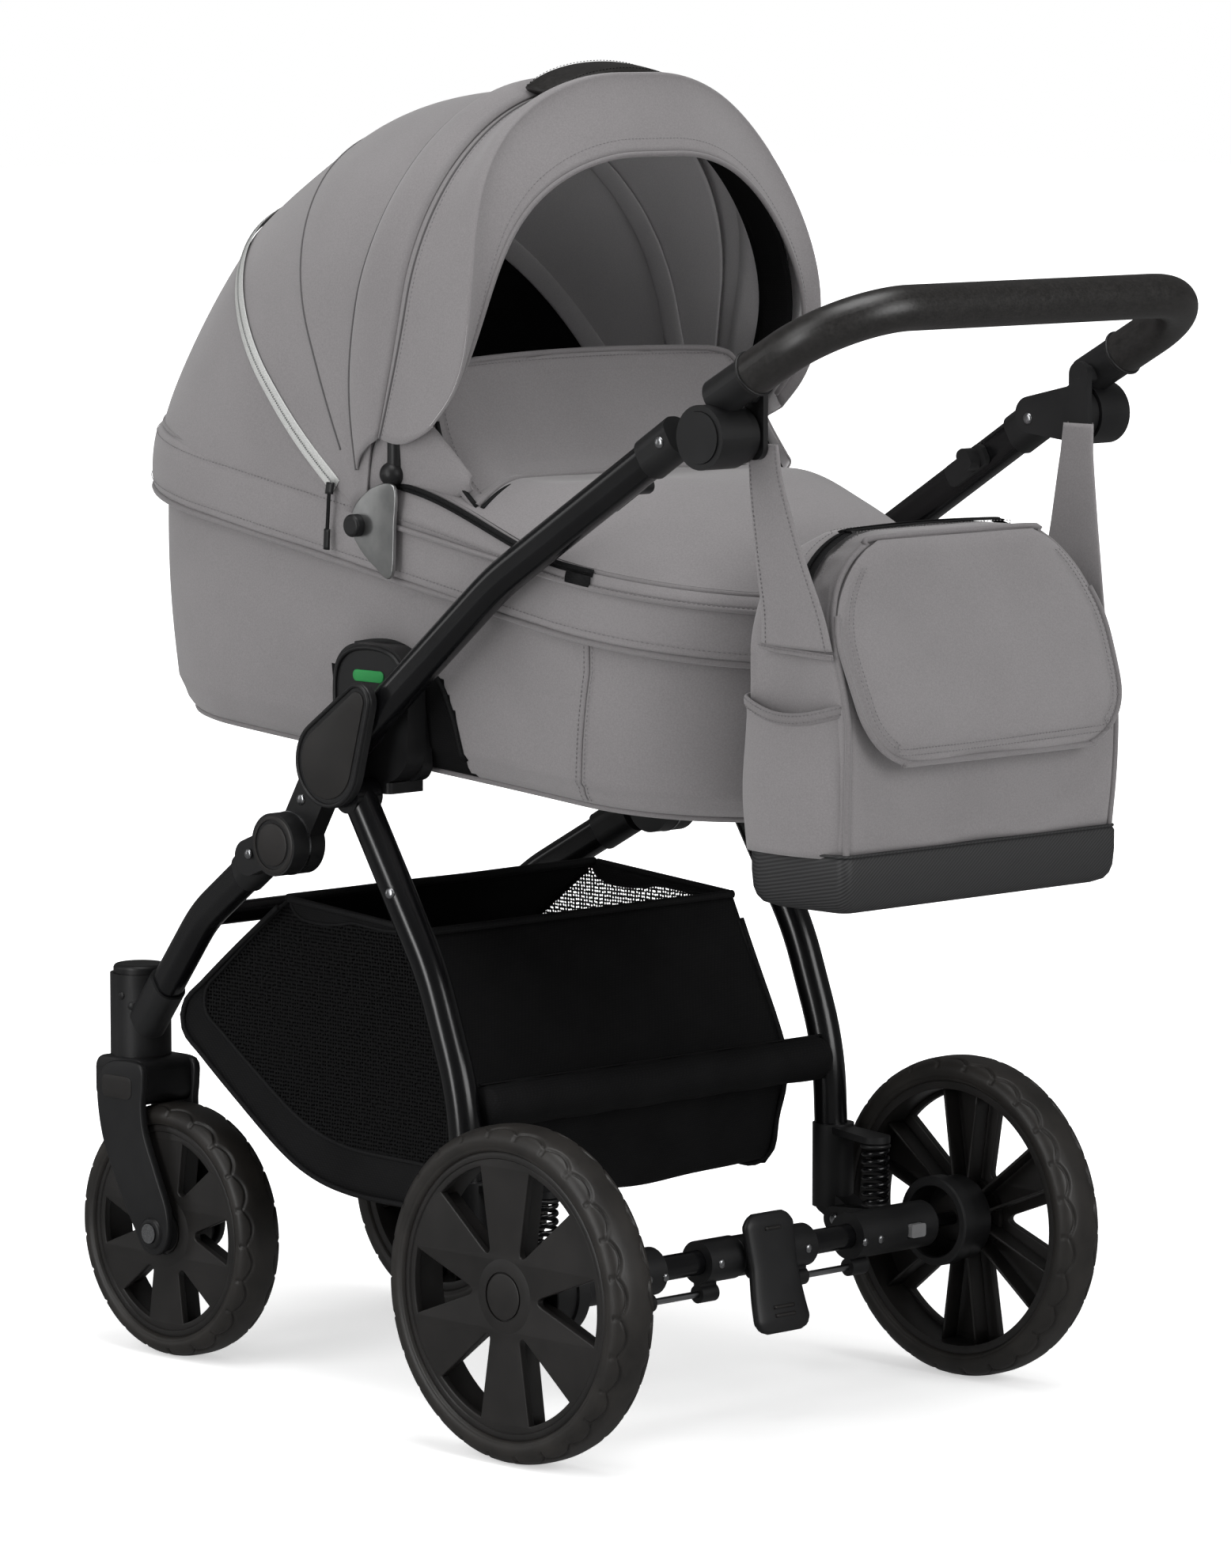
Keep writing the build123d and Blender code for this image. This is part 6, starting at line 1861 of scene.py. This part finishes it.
# %% Brake pedal
AXLE = (168.0, 145.0)
pedal_path = smooth_line([(187, 184), (191, 162), (196, 136), (202, 108), (210, 81)], 44)
pedal_share = np.linspace(0, 1, 44)
pedal_half = np.interp(pedal_share, [0, 0.03, 0.1, 0.45, 0.7, 0.9, 0.97, 1], [18, 25, 30, 28, 31, 33, 29, 20])
pedal_thick = np.interp(pedal_share, [0, 0.08, 0.9, 1], [6, 11, 11, 6])
section = flat_section(1, 1, 0.28, 32) / MM
ahead = np.gradient(pedal_path, axis=0)
ahead = unit(ahead)
rows = []
for (y, z), (dy, dz), half, thick in zip(pedal_path, ahead, pedal_half, pedal_thick):
    ring = np.array([0, y, z]) + section[:, :1] * 2 * half * np.array([1, 0, 0])
    rows.append((ring + section[:, 1:] * thick * np.array([0, -dz, dy])) * MM)
pedal_parts = [outwards(sheet("pedal_plate", rows, nylon, ring=True, caps=True))]
boss = [(-24.2, 11.6), (-24.2, 16.5), (-22.5, 18), (22.5, 18), (24.2, 16.5), (24.2, 11.6)]
pedal_parts.append(lathe("pedal_boss", boss, 0, *AXLE, nylon, 48))
pedal_parts.append(moulding("pedal_arm", [rounded_box(189, 140, 14, 22, 4)], 0, 40, nylon, 2.0))
for share, length in ((0.16, 9), (0.80, 12), (0.88, 12)):
    y, z = pedal_path[int(share * 43)]
    bar = np.array([(x, y + 5.6, z + 1.6) for x in np.linspace(-length, length, 12)]) * MM
    pedal_parts.append(cord("pedal_bar", bar, 1.7, rim_nylon))
pedal_piece = join("brake_pedal_moulding", *pedal_parts)
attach(pedal_piece, "pedal")
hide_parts("brake_pedal")
print("pedal:", len(pedal_piece.data.polygons), "faces")

# %% [markdown]
# The covers over the folding pins are kidney-shaped: two circles wrapped by one outline. A raised lip follows
# the edge and a flat panel lies inside it. The joint's disc gets a stepped cap, and the carrycot's receiver a
# ridge over a green sign that shows it has locked.

# %% Covers, caps and receivers
def wrapped(small, small_r, large, large_r, count=40):
    """The outline round two circles, as (y, z) points."""
    small, large = np.array(small), np.array(large)
    way = small - large
    lean = math.atan2(way[1], way[0])
    touch = math.acos((large_r - small_r) / np.linalg.norm(way))
    near = np.linspace(lean - touch, lean + touch, count)
    far = np.linspace(lean + touch, lean - touch + 2 * math.pi, count)
    first = small + small_r * np.stack([np.cos(near), np.sin(near)], 1)
    return np.vstack([first, large + large_r * np.stack([np.cos(far), np.sin(far)], 1)])


def at_x(points, x):
    """Flat (y, z) points stood across the frame at x, in metres."""
    points = np.asarray(points, float)
    return np.column_stack([np.full(len(points), x), points]) * MM


COVER_OUT, COVER_SMALL, COVER_LARGE, KNUCKLE = 250.0, (-66, 630), (-105, 574), (-176, 496)
upper_parts, front_parts = [], []
for side in (1, -1):
    lip = at_x(wrapped(COVER_SMALL, 14.5, COVER_LARGE, 37.5), side * COVER_OUT)
    upper_parts.append(cord("cover_lip", lip, 2.0, nylon, up=(1, 0, 0), closed=True))
    panel = wrapped(COVER_SMALL, 8.5, COVER_LARGE, 31)
    upper_parts.append(moulding("cover_panel", [panel], side * COVER_OUT, 2.4, rim_nylon, 0.8))
    cap = [(-1, 0.2), (1.8, 0.2), (1.8, 17), (1.1, 18.8), (-1, 19.4)]
    band = [(-1, 22), (1.0, 22.3), (1.2, 24.6), (0.3, 26), (-1, 26.4)]
    for shape in (cap, band):
        front_parts.append(lathe("knuckle_cap", shape, side * COVER_OUT, *KNUCKLE, rim_nylon, 64, side))
    washer = [(-0.8, 26.5), (0.8, 26.5), (0.8, 28.5), (-0.8, 28.5)]
    front_parts.append(lathe("knuckle_washer", washer, side * 231.0, *KNUCKLE, steel, 64))
    ridge = smooth_line([(-137, 606), (-136, 648), (-122, 667), (-95, 673), (-66, 669), (-49, 655)], 40)
    ridge = at_x(ridge, side * 210.4)
    upper_parts.append(cord("receiver_ridge", ridge, 2.2, nylon, up=(1, 0, 0)))
    sign_box = rounded_box(-94, 648, 38, 9, 4)
    upper_parts.append(moulding("receiver_sign", [sign_box], side * 210.2, 2.0, signal_green, 0.6))
print("covers and caps:", len(upper_parts) + len(front_parts))

# %% [markdown]
# Rivets and screws are small domes set on a surface, facing along its normal. Each list belongs to one body
# of the frame, so that the heads travel with it. A ring closes each end of the handle's grip.

# %% Rivets and screws
def dome(name, spot, normal, r, finish):
    """A low round head of radius r mm."""
    normal = np.array(normal, float) / np.linalg.norm(normal)
    across = np.cross(normal, (0.3, 0.2, 0.9))
    across /= np.linalg.norm(across)
    other = np.cross(normal, across)
    a = whole_turn(20)
    circle_way = np.cos(a)[:, None] * across + np.sin(a)[:, None] * other
    rows = []
    for reach, rise in ((1.0, -0.6), (1.0, 0.10 * r), (0.82, 0.26 * r), (0.45, 0.36 * r), (0.05, 0.40 * r)):
        rows.append((np.array(spot) + circle_way * r * reach + normal * rise) * MM)
    return outwards(sheet(name, rows, finish, ring=True, caps=True))


# place in mm, normal, radius in mm and finish; each head is mirrored to the other side
heads = {
    "upper_frame": [((241.2, 298, 872), (1, 0, 0), 5.0, steel), ((203, 304, 872.7), (-1, 0, 0), 5.0, steel),
                    ((231.0, -160, 536), (1, 0, 0), 5.0, steel)],
    "front_frame": [((250.0, -209, 485), (1, 0, 0), 4.5, steel),
                    ((196.6, -446, 329), (0.99, 0.16, 0), 3.6, nylon),
                    ((192.9, -436, 320), (0.85, 0.52, 0), 3.6, nylon)],
    "rear_frame": [((240.4, -34.3, 465.4), (0.96, 0.24, 0.15), 4.8, steel),
                   ((198, 78.2, 139.7), (-1, 0, 0), 5.0, steel)],
    "rear_axle": [((124, 188.9, 142), (0, 1, -0.1), 3.6, steel),
                  ((144, 188.9, 142), (0, 1, -0.1), 3.6, steel),
                  ((54, 187.0, 145), (0, 1, 0), 4.0, steel)],
}
GRIP_WAY, GRIP_RING, GRIP_X = np.array([0.878, 0.478]), 19.3, 226
grip_end = np.array([391.0, 931.0]) + GRIP_WAY * 3
grip_rings = []
for side in (1, -1):
    a = whole_turn(48)
    spots = np.column_stack([side * GRIP_X + GRIP_RING * np.cos(a),
                             grip_end[0] - GRIP_RING * np.sin(a) * GRIP_WAY[1],
                             grip_end[1] + GRIP_RING * np.sin(a) * GRIP_WAY[0]])
    grip_rings.append(cord("grip_ring", spots * MM, 1.4, nylon, up=(0, *GRIP_WAY), closed=True))
extra = {"upper_frame": upper_parts, "front_frame": front_parts, "handle": grip_rings}
for body in ("upper_frame", "front_frame", "rear_frame", "rear_axle", "handle"):
    parts = list(extra.get(body, []))
    for (x, y, z), (nx, ny, nz), r, finish in heads.get(body, []):
        for side in (1, -1):
            parts.append(dome("head", (side * x, y, z), (side * nx, ny, nz), r, finish))
    piece = join(f"{body}_fittings", *parts)
    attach(piece, body)
print("fittings: rivets on", len(heads), "bodies, and the grip's rings")

# %% [markdown]
# The hood's hinge is a leaf of satin aluminium on each side of the carrycot, under its black knob. The bow's
# end comes out of its tunnel above the leaf as a black stub with a ball.

# %% Hinge leaves and bow ends
LEAF = [(-78, 814), (-54, 815), (-54, 782), (-58, 738), (-78, 746), (-98, 762), (-108, 780), (-101, 798)]
leaf_outline = smooth_line(LEAF, 72, closed=True)
leaves, bow_ends = [], []
for side in (1, -1):
    leaves.append(moulding("hinge_leaf", [leaf_outline], side * 215.4, 4.0, casting, 1.0))
    stub = np.array([(side * 207, -63, 824), (side * 207, -62, 840), (side * 206, -63, 862)]) * MM
    bow_ends.append(carry("bow_stub", smooth_line(stub, 12), round_section(7, 16), nylon, up=(1, 0, 0)))
    ball = [(11 * math.sin(t), max(11 * math.cos(t), 0.2))
            for t in np.linspace(-math.pi / 2, math.pi / 2, 13)]
    bow_ends.append(lathe("bow_ball", ball, side * 209, -64, 826, nylon, 32))
leaf_piece = join("hinge_leaves", *leaves)
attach(leaf_piece, "carrycot")
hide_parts("hood_plates")
bow_piece = join("bow_ends", *bow_ends)
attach(bow_piece, "hood_front")
print("hinge leaves and bow ends made")
